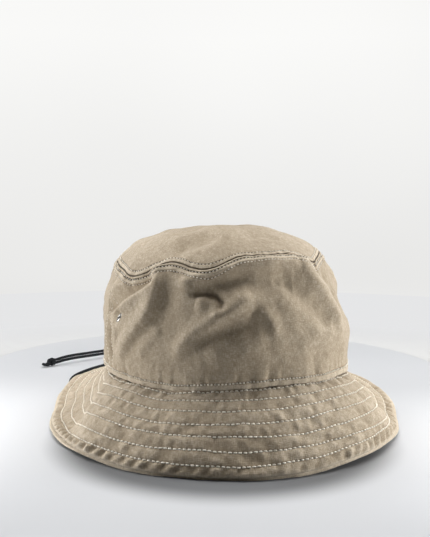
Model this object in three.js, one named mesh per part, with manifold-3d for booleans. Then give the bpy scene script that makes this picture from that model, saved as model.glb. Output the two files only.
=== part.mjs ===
// A washed cotton bucket hat with a stitched brim, vent eyelets and a chin cord with a cord lock.
// Millimetres, +Z up. The hat stands on its brim: the origin is on the surface it stands on,
// under the middle of the head opening. The front faces -Y and the side seams are at -X and +X.
import * as THREE from "three";
import { mergeVertices } from "three/addons/utils/BufferGeometryUtils.js";
import Module from "manifold-3d";

const wasm = await Module();
wasm.setup();

// Driving dimensions
const HEAD_HALF_WIDTH = 90; // of the head opening's oval, at the outer face of the crown
const HEAD_HALF_LENGTH = 98;
const OVAL_RADIUS = 94; // the round section that the ovals are bent from
const OVAL_FADE_RADIUS = 70.5; // inside this the bend fades to nothing
const BASE_Z = 47; // lower edge of the crown
const SEAM_Z = 130; // seam between the side panels and the top panel
const CROWN_Z = 148; // highest point of the top panel
const CLOTH = 1; // thickness of one ply
const INTERLINING = 0.6;
const TAPE = 0.7;
const GAP = 0.3; // between pieces that touch
const SEGMENTS = 48; // round the hat

const BRIM_WIDTH = 63.3; // along the cloth, from the crown to the edge
const BRIM_START_SLOPE = THREE.MathUtils.degToRad(26); // below the horizontal
const BRIM_END_SLOPE = THREE.MathUtils.degToRad(72);
const BRIM_STEPS = 8;
const FRONT_REACH = 0.95; // how far the brim reaches out at the front, against the section
const SIDE_REACH = 1.08;
const BACK_LIFT = 14; // the brim's edge is off the surface at the back
const LIFT_FROM = 0.26; // the lift starts and is complete at these sines of the angle from the sides
const LIFT_TO = 0.87;
const LIFT_CURVE = 1.3; // how the lift grows from the crown to the edge, as a power
const EDGE_SETBACK = 1; // the upper ply and the interlining stop this far short of the edge

const SWEATBAND_LOW = 44;
const SWEATBAND_HIGH = 74;
const SWEATBAND_THICK = 1.2;
const TOP_TAPE_LOW = 123;
const TOP_TAPE_HIGH = 129;
const SIDE_TAPE_WIDTH = 9;
const LABEL = { width: 24, low: 75, high: 95, thick: 0.5 };

const EYELET_Z = 86;
const EYELET_TURN = THREE.MathUtils.degToRad(15.5); // each side of the side seam
const EYELET = { bore: 2.3, barrel: 2.8, flange: 5, sheet: 0.5, hole: 3.1 };
const EYELET_CLEAR = 0.45; // a flat flange stands this far off the curved cloth at its middle
const EYELET_ROLL = 0.4; // the barrel's end beyond the washer

const CORD_DIAMETER = 2.8;
const STRAND_OFFSET = 1.55; // each strand's distance above or below the middle of the doubled tail
const TAIL_MIDDLE_Z = 6.3;
const TAIL_START = new THREE.Vector2(-9, 271.5); // middle of the cord lock at rest
const TAIL_TURN = THREE.MathUtils.degToRad(22.7); // the tail's line against the X axis
const TAIL_LENGTH = 94; // from the middle of the lock to the middle of the knot
const CORD_STEP = 7;

const LOCK = {
  radius: 6.2,
  low: -12,
  high: 7,
  floor: 1.4,
  bore: 4.9,
  slotWidth: 3.4,
  slotHeight: 6.5,
};
const PLUNGER = { radius: 4.6, low: -4, high: 12.5, slotLow: -1.7, slotHigh: 4.7 };
const SPRING = { radius: 3, wire: 0.6, low: -10.3, high: -4.3, turns: 4 };
const KNOT = { halfLength: 5.2, halfWidth: 4.6, halfHeight: 4.5 };
const TAB = { width: 10, thick: 1.4, low: 41, high: 56, inset: 4.4 };

const colours = {
  khaki: 0xb4a68e,
  under: 0xa89a82,
  lining: 0xe8e2d4,
  tape: 0x9c8e76,
  metal: 0xc9c7c2,
  cord: 0x1c2124,
  lock: 0x202224,
};

const hat = new THREE.Group();

function material(colour, roughness, metalness = 0) {
  return new THREE.MeshStandardMaterial({ color: colour, roughness, metalness });
}

function addMesh(name, geometry, look, parent = hat) {
  const mesh = new THREE.Mesh(geometry, look);
  mesh.name = name;
  parent.add(mesh);
  return mesh;
}

// Booleans

function solidOf(geometry) {
  const plain = geometry.index ? geometry.toNonIndexed() : geometry.clone();
  plain.deleteAttribute("normal");
  plain.deleteAttribute("uv");
  const merged = mergeVertices(plain, 1e-3);
  const corners = [];
  const index = merged.index.array;
  for (let i = 0; i < index.length; i += 3) {
    const [a, b, c] = [index[i], index[i + 1], index[i + 2]];
    if (a !== b && b !== c && c !== a) {
      corners.push(a, b, c);
    }
  }
  return new wasm.Manifold(
    new wasm.Mesh({
      numProp: 3,
      vertProperties: merged.attributes.position.array,
      triVerts: new Uint32Array(corners),
    }),
  );
}

function geometryOf(solid) {
  const made = solid.getMesh();
  const geometry = new THREE.BufferGeometry();
  geometry.setAttribute("position", new THREE.BufferAttribute(made.vertProperties, 3));
  geometry.setIndex(new THREE.BufferAttribute(made.triVerts, 1));
  geometry.computeVertexNormals();
  return geometry;
}

function block(low, high) {
  const size = new THREE.Vector3(high[0] - low[0], high[1] - low[1], high[2] - low[2]);
  const box = new THREE.BoxGeometry(size.x, size.y, size.z);
  box.translate(low[0] + size.x / 2, low[1] + size.y / 2, low[2] + size.z / 2);
  return solidOf(box);
}

const FAR = 400;
const FRONT_HALF = block([-FAR, -FAR, -FAR], [FAR, -GAP / 2, FAR]);
const REAR_HALF = block([-FAR, GAP / 2, -FAR], [FAR, FAR, FAR]);
const UNDER_FLOOR = block([-FAR, -FAR, -FAR], [FAR, FAR, 0]);

// Oval rings

// The points of a profile again, moved inwards at right angles to it.
function inwards(profile, distance) {
  return profile.map((point, i) => {
    const before = profile[Math.max(i - 1, 0)];
    const after = profile[Math.min(i + 1, profile.length - 1)];
    const along = after.clone().sub(before).normalize();
    return new THREE.Vector2(point.x - along.y * distance, point.y + along.x * distance);
  });
}

// A closed outline of one ply: up its outer face and down its inner face.
function ply(profile, outer, inner) {
  const closed = [...inwards(profile, outer), ...inwards(profile, inner).reverse()];
  return [...closed, closed[0].clone()];
}

// Bends a round ring into the hat's oval.
function toOval(geometry) {
  const position = geometry.attributes.position;
  for (let i = 0; i < position.count; i += 1) {
    const x = position.getX(i);
    const y = position.getY(i);
    const radius = Math.max(Math.hypot(x, y), OVAL_FADE_RADIUS);
    position.setX(i, x * (1 + (HEAD_HALF_WIDTH - OVAL_RADIUS) / radius));
    position.setY(i, y * (1 + (HEAD_HALF_LENGTH - OVAL_RADIUS) / radius));
  }
  return geometry;
}

function roundRing(outline) {
  return new THREE.LatheGeometry(outline, SEGMENTS).rotateX(Math.PI / 2);
}

function ovalRing(outline) {
  return toOval(roundRing(outline));
}

// Crown

const sideProfile = [
  [94, BASE_Z],
  [94.6, 62],
  [94.4, 78],
  [93, 93],
  [89.8, 107],
  [85.5, 118],
  [80.5, 126],
  [77, SEAM_Z],
].map(([radius, z]) => new THREE.Vector2(radius, z));

const topProfile = [
  [0, CROWN_Z],
  [22, 147],
  [42, 143.8],
  [58, 139.5],
  [70, 134.6],
].map(([radius, z]) => new THREE.Vector2(radius, z));

// The stretch of the side profile between two heights.
function sideBetween(low, high) {
  const at = (z) => {
    const k = sideProfile.findIndex((point) => point.y >= z);
    const [below, above] = [sideProfile[Math.max(k - 1, 0)], sideProfile[k]];
    const share = above === below ? 0 : (z - below.y) / (above.y - below.y);
    return below.clone().lerp(above, share);
  };
  return [at(low), ...sideProfile.filter((point) => point.y > low && point.y < high), at(high)];
}

function eyeletPlaces() {
  const places = [];
  for (const side of ["left", "right"]) {
    for (const end of ["front", "rear"]) {
      const seam = side === "left" ? Math.PI : 0;
      const towardsFront = side === "left" ? 1 : -1;
      const turn = seam + EYELET_TURN * (end === "front" ? towardsFront : -towardsFront);
      places.push({ name: `${side}_${end}`, turn });
    }
  }
  return places;
}

// A group at an eyelet, with its own Y axis pointing straight out of the cloth's outer face.
function eyeletFrame(turn) {
  const [at, above] = sideBetween(EYELET_Z, SEAM_Z);
  const radius = at.x - OVAL_RADIUS;
  const lean = (at.x - above.x) / (above.y - at.y);
  const frame = new THREE.Group();
  frame.position.set(
    (HEAD_HALF_WIDTH + radius) * Math.cos(turn),
    (HEAD_HALF_LENGTH + radius) * Math.sin(turn),
    EYELET_Z,
  );
  const outwards = new THREE.Vector3(
    Math.cos(turn) / HEAD_HALF_WIDTH,
    Math.sin(turn) / HEAD_HALF_LENGTH,
    0,
  ).normalize();
  outwards.z = lean;
  outwards.normalize();
  frame.quaternion.setFromUnitVectors(new THREE.Vector3(0, 1, 0), outwards);
  frame.updateMatrixWorld(true);
  return frame;
}

function addCrown() {
  const cloth = material(colours.khaki, 0.92);
  const rimOuter = sideProfile.at(-1).clone();
  const rimInner = inwards(sideProfile, CLOTH).at(-1);
  const alongRim = rimOuter.clone().sub(sideProfile.at(-2)).normalize().multiplyScalar(GAP);
  const topOutline = [
    ...inwards([...topProfile].reverse(), CLOTH).reverse(),
    rimInner.add(alongRim),
    rimOuter.add(alongRim),
    ...[...topProfile].reverse(),
  ];
  topOutline[0].set(0, CROWN_Z - CLOTH);
  addMesh("top_panel", ovalRing(topOutline), cloth);

  let band = solidOf(ovalRing(ply(sideProfile, 0, CLOTH)));
  for (const place of eyeletPlaces()) {
    const drill = new THREE.CylinderGeometry(EYELET.hole, EYELET.hole, 12, 16);
    drill.applyMatrix4(eyeletFrame(place.turn).matrixWorld);
    band = band.subtract(solidOf(drill));
  }
  addMesh("front_side_panel", geometryOf(band.intersect(FRONT_HALF)), cloth);
  addMesh("rear_side_panel", geometryOf(band.intersect(REAR_HALF)), cloth);
}

function addCrownTrim() {
  const tape = material(colours.tape, 0.9);
  const outer = CLOTH + GAP;
  const topTape = ply(sideBetween(TOP_TAPE_LOW, TOP_TAPE_HIGH), outer, outer + TAPE);
  addMesh("top_seam_tape", ovalRing(topTape), tape);

  const sideTape = ply(
    sideBetween(SWEATBAND_HIGH + 2 * GAP, TOP_TAPE_LOW - 2 * GAP),
    outer,
    outer + TAPE,
  );
  const sideRing = solidOf(ovalRing(sideTape));
  const half = SIDE_TAPE_WIDTH / 2;
  const left = sideRing.intersect(block([-FAR, -half, 0], [0, half, FAR]));
  const right = sideRing.intersect(block([0, -half, 0], [FAR, half, FAR]));
  addMesh("left_side_seam_tape", geometryOf(left), tape);
  addMesh("right_side_seam_tape", geometryOf(right), tape);

  const bandOuter = OVAL_RADIUS - outer;
  const bandInner = bandOuter - SWEATBAND_THICK;
  const bandOutline = [
    [bandOuter, SWEATBAND_LOW],
    [bandOuter, SWEATBAND_HIGH],
    [bandInner, SWEATBAND_HIGH],
    [bandInner, SWEATBAND_LOW],
    [bandOuter, SWEATBAND_LOW],
  ].map(([radius, z]) => new THREE.Vector2(radius, z));
  addMesh("sweatband", ovalRing(bandOutline), material(colours.lining, 0.85));

  const labelOutline = ply(sideBetween(LABEL.low, LABEL.high), outer, outer + LABEL.thick);
  const label = solidOf(ovalRing(labelOutline)).intersect(
    block([-LABEL.width / 2, 0, 0], [LABEL.width / 2, FAR, FAR]),
  );
  addMesh("blank_label", geometryOf(label), material(colours.lining, 0.8));
}

function addEyelets() {
  const metal = material(colours.metal, 0.35, 0.9);
  const clear = EYELET_CLEAR;
  const end = -(CLOTH + clear + EYELET.sheet + EYELET_ROLL);
  const barrel = [
    [EYELET.bore, end],
    [EYELET.barrel, end],
    [EYELET.barrel, clear],
    [EYELET.flange, clear],
    [EYELET.flange - 0.6, clear + EYELET.sheet],
    [EYELET.bore + 0.4, clear + EYELET.sheet],
    [EYELET.bore, clear + 0.1],
    [EYELET.bore, end],
  ].map(([radius, y]) => new THREE.Vector2(radius, y));
  const washerHigh = -(CLOTH + clear);
  const washer = [
    [EYELET.barrel + GAP, washerHigh - EYELET.sheet],
    [EYELET.flange, washerHigh - EYELET.sheet],
    [EYELET.flange, washerHigh],
    [EYELET.barrel + GAP, washerHigh],
    [EYELET.barrel + GAP, washerHigh - EYELET.sheet],
  ].map(([radius, y]) => new THREE.Vector2(radius, y));
  for (const place of eyeletPlaces()) {
    const frame = eyeletFrame(place.turn);
    hat.add(frame);
    addMesh(`${place.name}_eyelet`, new THREE.LatheGeometry(barrel, 16), metal, frame);
    addMesh(`${place.name}_eyelet_washer`, new THREE.LatheGeometry(washer, 16), metal, frame);
  }
}

// Brim

// The brim's upper face in section. It gets steeper towards the edge.
function brimSection(width) {
  const turn = BRIM_END_SLOPE - BRIM_START_SLOPE;
  const points = [];
  for (let i = 0; i <= BRIM_STEPS; i += 1) {
    const slope = BRIM_START_SLOPE + (turn * i * width) / (BRIM_STEPS * BRIM_WIDTH);
    const out = (BRIM_WIDTH * (Math.sin(slope) - Math.sin(BRIM_START_SLOPE))) / turn;
    const down = (BRIM_WIDTH * (Math.cos(BRIM_START_SLOPE) - Math.cos(slope))) / turn;
    points.push(new THREE.Vector2(OVAL_RADIUS - CLOTH + out, BASE_Z - GAP - down));
  }
  return points;
}

// Gives the brim its reach at the front and the sides, and lifts its edge at the back.
function shapeBrim(geometry) {
  const inner = OVAL_RADIUS - CLOTH;
  const reach = brimSection(BRIM_WIDTH).at(-1).x - inner;
  const position = geometry.attributes.position;
  for (let i = 0; i < position.count; i += 1) {
    const x = position.getX(i);
    const y = position.getY(i);
    const radius = Math.hypot(x, y);
    const out = Math.max(radius - inner, 0);
    const sideShare = (x / radius) ** 2;
    const stretch = FRONT_REACH + (SIDE_REACH - FRONT_REACH) * sideShare - 1;
    const back = THREE.MathUtils.smoothstep(y / radius, LIFT_FROM, LIFT_TO);
    const scale = 1 + (out * stretch) / radius;
    position.setXYZ(
      i,
      x * scale,
      y * scale,
      position.getZ(i) + BACK_LIFT * back * Math.min(out / reach, 1) ** LIFT_CURVE,
    );
  }
  return geometry;
}

// The head opening through the brim, as a solid to cut away.
function headOpening() {
  const radius = OVAL_RADIUS - CLOTH;
  const outline = [[0, 0], [radius, 0], [radius, SEAM_Z], [0, SEAM_Z]];
  return solidOf(ovalRing(outline.map(([r, z]) => new THREE.Vector2(r, z))));
}

function brimPly(width, outer, inner) {
  const section = brimSection(width).reverse();
  const bent = toOval(shapeBrim(roundRing(ply(section, outer, inner))));
  return solidOf(bent).subtract(headOpening());
}

function addBrim() {
  const upper = brimPly(BRIM_WIDTH - EDGE_SETBACK, 0, CLOTH).subtract(UNDER_FLOOR);
  const middleDepth = CLOTH + GAP;
  const middle = brimPly(BRIM_WIDTH - EDGE_SETBACK, middleDepth, middleDepth + INTERLINING);
  const lowerDepth = middleDepth + INTERLINING + GAP;
  const lower = brimPly(BRIM_WIDTH, lowerDepth, lowerDepth + CLOTH);
  const cloth = material(colours.khaki, 0.92);
  const underCloth = material(colours.under, 0.92);
  addMesh("upper_brim_front", geometryOf(upper.intersect(FRONT_HALF)), cloth);
  addMesh("upper_brim_rear", geometryOf(upper.intersect(REAR_HALF)), cloth);
  addMesh("brim_interlining", geometryOf(middle), material(colours.lining, 0.95));
  const stood = lower.subtract(UNDER_FLOOR);
  addMesh("under_brim_front", geometryOf(stood.intersect(FRONT_HALF)), underCloth);
  addMesh("under_brim_rear", geometryOf(stood.intersect(REAR_HALF)), underCloth);
}

// Chin cord

// A point beside the doubled tail: along it away from the knot, across it and at a height.
function tailPoint(along, z) {
  return new THREE.Vector3(
    TAIL_START.x + along * Math.cos(TAIL_TURN),
    TAIL_START.y + along * Math.sin(TAIL_TURN),
    z,
  );
}

const LOW = CORD_DIAMETER / 2 + 0.1; // middle of a strand that lies on the surface

function tailPoints(side) {
  const z = TAIL_MIDDLE_Z + side * STRAND_OFFSET;
  const atKnot = KNOT.halfHeight + side * STRAND_OFFSET;
  return [
    tailPoint(KNOT.halfLength + GAP - TAIL_LENGTH, atKnot),
    tailPoint(-80, z - 0.6),
    tailPoint(-70, z),
    tailPoint(-50, z),
    tailPoint(-30, z),
    tailPoint(-10, z),
    tailPoint(8, z),
    tailPoint(14, z),
  ];
}

// The left strand leaves the lock, turns back and runs under the raised back of the brim.
const leftRoute = [
  ...tailPoints(-1),
  new THREE.Vector3(16, 281, 3.4),
  new THREE.Vector3(27, 280, 2),
  new THREE.Vector3(33, 272, LOW),
  new THREE.Vector3(31, 262, LOW),
  new THREE.Vector3(17, 251, LOW),
  new THREE.Vector3(-4, 241, LOW),
  new THREE.Vector3(-26, 229.5, LOW),
  new THREE.Vector3(-47.5, 215.5, LOW),
  new THREE.Vector3(-66, 199, LOW),
  new THREE.Vector3(-83, 177, LOW),
  new THREE.Vector3(-91.5, 151, LOW),
  new THREE.Vector3(-92.5, 122, LOW),
  new THREE.Vector3(-90, 92, LOW),
  new THREE.Vector3(-87, 64, LOW),
  new THREE.Vector3(-84, 38, LOW),
  new THREE.Vector3(-82.5, 20, 2.6),
  new THREE.Vector3(-82.2, 8, 8),
  new THREE.Vector3(-82.2, 2, 19),
  new THREE.Vector3(-82.2, 0, 30),
  new THREE.Vector3(-82.2, 0, TAB.low - GAP),
];

const rightRoute = [
  ...tailPoints(1),
  new THREE.Vector3(20, 284, 6),
  new THREE.Vector3(38, 285, 2.4),
  new THREE.Vector3(58, 278, LOW),
  new THREE.Vector3(74, 263, LOW),
  new THREE.Vector3(84, 241, LOW),
  new THREE.Vector3(89, 213, LOW),
  new THREE.Vector3(92, 181, LOW),
  new THREE.Vector3(93, 149, LOW),
  new THREE.Vector3(92, 118, LOW),
  new THREE.Vector3(90, 91, LOW),
  new THREE.Vector3(87, 64, LOW),
  new THREE.Vector3(84, 38, LOW),
  new THREE.Vector3(82.5, 20, 2.6),
  new THREE.Vector3(82.2, 8, 8),
  new THREE.Vector3(82.2, 2, 19),
  new THREE.Vector3(82.2, 0, 30),
  new THREE.Vector3(82.2, 0, TAB.low - GAP),
];

function cordTube(route) {
  const curve = new THREE.CatmullRomCurve3(route, false, "centripetal");
  const section = new THREE.Shape();
  for (let i = 0; i < 8; i += 1) {
    const turn = ((i + 0.5) * Math.PI) / 4;
    const x = (CORD_DIAMETER / 2) * Math.cos(turn);
    const y = (CORD_DIAMETER / 2) * Math.sin(turn);
    if (i === 0) {
      section.moveTo(x, y);
    } else {
      section.lineTo(x, y);
    }
  }
  section.closePath();
  const steps = Math.round(curve.getLength() / CORD_STEP);
  return new THREE.ExtrudeGeometry(section, { steps, extrudePath: curve, bevelEnabled: false });
}

function addKnot(look) {
  const ball = new THREE.SphereGeometry(1, 14, 10);
  ball.scale(KNOT.halfLength, KNOT.halfWidth, KNOT.halfHeight);
  const bight = new THREE.TorusGeometry(2.4, CORD_DIAMETER / 2, 8, 12);
  bight.translate(-(KNOT.halfLength + 1.6), 0, CORD_DIAMETER / 2 - KNOT.halfHeight + 0.1);
  const knot = geometryOf(solidOf(ball).add(solidOf(bight)));
  const place = tailPoint(-TAIL_LENGTH, KNOT.halfHeight);
  const mesh = addMesh("chin_cord_knot", knot, look);
  mesh.position.copy(place);
  mesh.rotation.z = TAIL_TURN;
}

function addChinCord() {
  const look = material(colours.cord, 0.75);
  addMesh("chin_cord_left", cordTube(leftRoute), look);
  addMesh("chin_cord_right", cordTube(rightRoute), look);
  addKnot(look);
  const tape = material(colours.khaki, 0.9);
  for (const [name, side] of [["left_cord_tab", -1], ["right_cord_tab", 1]]) {
    const outer = HEAD_HALF_WIDTH - TAB.inset;
    const middle = side * (outer - TAB.thick / 2);
    const tab = new THREE.BoxGeometry(TAB.thick, TAB.width, TAB.high - TAB.low);
    addMesh(name, tab, tape).position.set(middle, 0, (TAB.low + TAB.high) / 2);
  }
}

// Cord lock: a barrel across the tail, a spring on its floor and a plunger whose slot pinches
// the cord. Its own X axis is along the tail and its own Y axis along the barrel.
function addCordLock() {
  const frame = new THREE.Group();
  frame.position.copy(tailPoint(0, TAIL_MIDDLE_Z));
  frame.rotation.z = TAIL_TURN;
  hat.add(frame);
  const look = material(colours.lock, 0.45);

  const floor = LOCK.low + LOCK.floor;
  const cup = [
    [0, LOCK.low],
    [LOCK.radius - 0.8, LOCK.low],
    [LOCK.radius, LOCK.low + 0.8],
    [LOCK.radius, LOCK.high - 0.5],
    [LOCK.radius - 0.5, LOCK.high],
    [LOCK.bore, LOCK.high],
    [LOCK.bore, floor],
    [0, floor],
  ].map(([radius, y]) => new THREE.Vector2(radius, y));
  const bodySlot = block(
    [-10, -LOCK.slotWidth / 2, -LOCK.slotHeight / 2],
    [10, LOCK.slotWidth / 2, LOCK.slotHeight / 2],
  );
  const barrel = solidOf(new THREE.LatheGeometry(cup, 24)).subtract(bodySlot);
  addMesh("lock_barrel", geometryOf(barrel), look, frame);

  const stem = [
    [0, PLUNGER.low],
    [PLUNGER.radius, PLUNGER.low],
    [PLUNGER.radius, PLUNGER.high - 1],
    [PLUNGER.radius - 1, PLUNGER.high],
    [0, PLUNGER.high],
  ].map(([radius, y]) => new THREE.Vector2(radius, y));
  const plungerSlot = block(
    [-10, PLUNGER.slotLow, -LOCK.slotHeight / 2],
    [10, PLUNGER.slotHigh, LOCK.slotHeight / 2],
  );
  const plunger = solidOf(new THREE.LatheGeometry(stem, 24)).subtract(plungerSlot);
  addMesh("lock_plunger", geometryOf(plunger), look, frame);

  const coil = new THREE.Curve();
  const rise = SPRING.high - SPRING.low - SPRING.wire;
  coil.getPoint = (t) => {
    const turn = 2 * Math.PI * SPRING.turns * t;
    return new THREE.Vector3(
      SPRING.radius * Math.cos(turn),
      SPRING.low + SPRING.wire / 2 + rise * t,
      SPRING.radius * Math.sin(turn),
    );
  };
  const wire = new THREE.Shape().absarc(0, 0, SPRING.wire / 2, 0, 2 * Math.PI);
  const spring = new THREE.ExtrudeGeometry(wire, {
    steps: 12 * SPRING.turns,
    curveSegments: 3,
    extrudePath: coil,
    bevelEnabled: false,
  });
  addMesh("lock_spring", spring, material(colours.metal, 0.3, 1), frame);
}

addCrown();
addCrownTrim();
addEyelets();
addBrim();
addChinCord();
addCordLock();

export default hat;
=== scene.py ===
import math

import bmesh
import bpy
import numpy as np
from mathutils import Matrix, Vector


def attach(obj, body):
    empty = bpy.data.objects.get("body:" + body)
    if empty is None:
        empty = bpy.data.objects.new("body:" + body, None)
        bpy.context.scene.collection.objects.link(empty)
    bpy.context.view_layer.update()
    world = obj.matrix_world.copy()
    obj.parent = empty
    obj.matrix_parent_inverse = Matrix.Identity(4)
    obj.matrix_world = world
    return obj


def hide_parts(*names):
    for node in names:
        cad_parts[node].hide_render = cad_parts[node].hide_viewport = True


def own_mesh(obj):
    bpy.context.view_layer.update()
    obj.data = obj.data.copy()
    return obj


# A washed cotton bucket hat. Shapes are worked out in millimetres and stored in metres.
# Angles round the hat are in degrees from its front (-Y), positive towards +X.

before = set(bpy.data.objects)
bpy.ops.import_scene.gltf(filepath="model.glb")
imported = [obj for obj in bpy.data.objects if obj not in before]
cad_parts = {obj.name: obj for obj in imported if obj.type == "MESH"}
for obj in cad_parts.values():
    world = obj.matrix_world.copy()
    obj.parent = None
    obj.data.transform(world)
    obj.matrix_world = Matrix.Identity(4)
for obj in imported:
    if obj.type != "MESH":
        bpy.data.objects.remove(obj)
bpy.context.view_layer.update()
scene = bpy.context.scene
RNG = np.random.default_rng(7)

# ---- camera

VIEW_ANGLE = -21.0       # the hat is seen from this angle round it
VIEW_TURN = math.radians(VIEW_ANGLE)
AHEAD = np.array([-math.sin(VIEW_TURN), math.cos(VIEW_TURN)])   # on the floor, away from the camera
ASIDE = np.array([math.cos(VIEW_TURN), math.sin(VIEW_TURN)])    # on the floor, to the camera's right
CAMERA_DISTANCE = 0.575
CAMERA_HEIGHT = 0.164
CAMERA_PITCH = 4.78
CAMERA_YAW = 0.70
CAMERA_ROLL = 0.40
CAMERA_LENS = 63.96      # for a 36 mm wide frame


def add_camera():
    data = bpy.data.cameras.new("camera")
    data.sensor_fit = "HORIZONTAL"
    data.sensor_width = 36.0
    data.lens = CAMERA_LENS
    data.clip_start = 0.01
    camera = bpy.data.objects.new("camera", data)
    scene.collection.objects.link(camera)
    camera.location = (*(-CAMERA_DISTANCE * AHEAD), CAMERA_HEIGHT)
    spin = Matrix.Rotation(VIEW_TURN + math.radians(CAMERA_YAW), 4, "Z")
    tilt = Matrix.Rotation(math.radians(90 - CAMERA_PITCH), 4, "X")
    roll = Matrix.Rotation(math.radians(CAMERA_ROLL), 4, "Z")
    camera.matrix_world = Matrix.Translation(camera.location) @ spin @ tilt @ roll
    scene.camera = camera


add_camera()

# ---- small tools


def smooth(edge0, edge1, value):
    t = np.clip((value - edge0) / (edge1 - edge0), 0, 1)
    return t * t * (3 - 2 * t)


def bell(value, width):
    """1 at 0, dying away smoothly over about the width."""
    return np.exp(-((value / width) ** 2))


def wrapped(angle):
    """The same angle between -180 and 180 degrees."""
    return (angle + 180) % 360 - 180


def lap(angle, cells):
    """Where an angle lies on a lap round the hat that is this many cells of noise long."""
    return (angle % 360) / 360 * cells


def unit(vectors):
    return vectors / np.maximum(np.linalg.norm(vectors, axis=-1, keepdims=True), 1e-9)


def run_along(line):
    """The length along a line of points, at each point."""
    return np.concatenate([[0], np.cumsum(np.linalg.norm(np.diff(line, axis=0), axis=1))])


def curve_through(xs, ys, x):
    """A smooth curve through the points, at x."""
    xs, ys = np.asarray(xs, float), np.asarray(ys, float)
    slope = np.gradient(ys, xs)
    i = np.clip(np.searchsorted(xs, x) - 1, 0, len(xs) - 2)
    h = xs[i + 1] - xs[i]
    t = np.clip((x - xs[i]) / h, 0, 1)
    a = (1 + 2 * t) * (1 - t) ** 2
    b = t * (1 - t) ** 2
    c = t * t * (3 - 2 * t)
    d = t * t * (t - 1)
    return a * ys[i] + b * h * slope[i] + c * ys[i + 1] + d * h * slope[i + 1]


def round_the_hat(table, angle):
    """A value given at some angles round the hat, at any angle."""
    xs = [p[0] for p in table]
    ys = [p[1] for p in table]
    xs = [x - 360 for x in xs] + xs + [x + 360 for x in xs]
    return curve_through(xs, ys * 3, wrapped(np.asarray(angle, float)))


class Noise:
    """Smooth noise in space from a random lattice, between about -1 and 1."""

    def __init__(self, seed, cells=24):
        self.cells = cells
        self.table = np.random.default_rng(seed).uniform(-1, 1, (cells,) * 3)

    def __call__(self, x, y, z=0.0):
        x, y, z = np.broadcast_arrays(np.asarray(x, float), y, z)
        corner = [np.floor(v).astype(int) for v in (x, y, z)]
        part = [v - c for v, c in zip((x, y, z), corner)]
        part = [f * f * (3 - 2 * f) for f in part]
        total = 0
        for dx in (0, 1):
            for dy in (0, 1):
                for dz in (0, 1):
                    share = 1
                    for f, d in zip(part, (dx, dy, dz)):
                        share = share * (f if d else 1 - f)
                    index = tuple((c + d) % self.cells for c, d in zip(corner, (dx, dy, dz)))
                    total = total + share * self.table[index]
        return total * 1.6


def fold(x, y, path, height, left=6.0, right=6.0, fade=8.0):
    """A soft ridge along a path, or a valley when height is below 0. left and right are the
    widths of its two flanks, seen along the path, and fade the length over which its ends die."""
    pts = np.asarray(path, float)
    seg = np.diff(pts, axis=0)
    length = np.hypot(seg[:, 0], seg[:, 1])
    start = np.concatenate([[0], np.cumsum(length)])
    best = np.full(np.shape(x), 1e9)
    side = np.zeros(np.shape(x))
    along = np.zeros(np.shape(x))
    for k in range(len(seg)):
        dx, dy = x - pts[k, 0], y - pts[k, 1]
        t = np.clip((dx * seg[k, 0] + dy * seg[k, 1]) / length[k] ** 2, 0, 1)
        gap = np.hypot(dx - t * seg[k, 0], dy - t * seg[k, 1])
        near = gap < best
        best = np.where(near, gap, best)
        side = np.where(near, seg[k, 0] * dy - seg[k, 1] * dx, side)
        along = np.where(near, start[k] + t * length[k], along)
    width = np.where(side > 0, left, right)
    ends = smooth(0, fade, along + 0.35 * fade) * smooth(0, fade, start[-1] - along + 0.35 * fade)
    return height * ends * bell(best, width)


def folds(x, y, table, total=0):
    """Adds up a table's folds, each a path and the numbers that fold() takes after it."""
    for path, *form in table:
        total = total + fold(x, y, path, *form)
    return total


# ---- the crown's shape

ROUND = 94.0             # the round section that the ovals are bent from
HALF_WIDTH = 90.0
HALF_LENGTH = 98.0
OVAL_FADE = 70.5
CLOTH = 1.0
MM_PER_DEGREE = ROUND * math.pi / 180
MAP_CUT = 205            # unrolled maps are cut this far round from the front, behind the hat

PROFILE_R = [94.0, 94.4, 94.6, 94.4, 93.2, 90.2, 86.2, 81.4, 76.6, 69.0, 58.0, 42.0, 22.0, 8.0, 0.0]
PROFILE_Z = [44.0, 53.0, 62.0, 78.0, 93.0, 107.0, 118.0, 126.2, 130.8, 136.0, 140.8, 145.4, 148.2, 148.8,
             148.9]

# how far the crown's right and left sides stand out of the round form, by height
RIGHT_FORM = [(44, 1.6), (58, 0.9), (70, 1.4), (80, 0.4), (88, -3.2), (97, -6.2), (106, -6.6), (116, -8.2),
              (126, -8.0), (136, -5.5), (142, -3.0), (147, 0.0)]
LEFT_FORM = [(44, -1.6), (58, -1.3), (68, -1.2), (87, -1.0), (98, -0.8), (106, -1.2), (116, -1.2),
             (126, -1.9), (132, -3.2), (139, -3.8), (143, -2.2), (147, 0.0)]

SEAM_HEIGHT = [
    (-180, 128), (-150, 130), (-125, 127), (-105, 122), (-89, 119.5), (-80, 117.5), (-73, 115), (-66, 116.5),
    (-57, 122), (-50, 125.5), (-44, 125), (-37, 122.5), (-30, 122), (-24, 125), (-18, 129), (-8, 131),
    (4, 131.5), (17, 131), (25, 128), (32, 125), (40, 126.5), (60, 129), (90, 128), (120, 130), (150, 128),
]
LIP_HEIGHT = [
    (-180, 46), (-130, 45.5), (-95, 44), (-69, 41.8), (-49, 42.8), (-30, 46.2), (-10, 48.2), (8, 48.8),
    (30, 48.2), (55, 46.6), (90, 46.0), (135, 46.5),
]


def profile_length():
    fine = np.linspace(0, 1, 1500)
    steps = np.linspace(0, 1, len(PROFILE_R))
    r = curve_through(steps, PROFILE_R, fine)
    z = curve_through(steps, PROFILE_Z, fine)
    run = np.concatenate([[0], np.cumsum(np.hypot(np.diff(r), np.diff(z)))])
    return run, r, z


RUN, RUN_R, RUN_Z = profile_length()
WHOLE_RUN = RUN[-1]


def run_at_height(z):
    return np.interp(z, RUN_Z, RUN)


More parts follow.
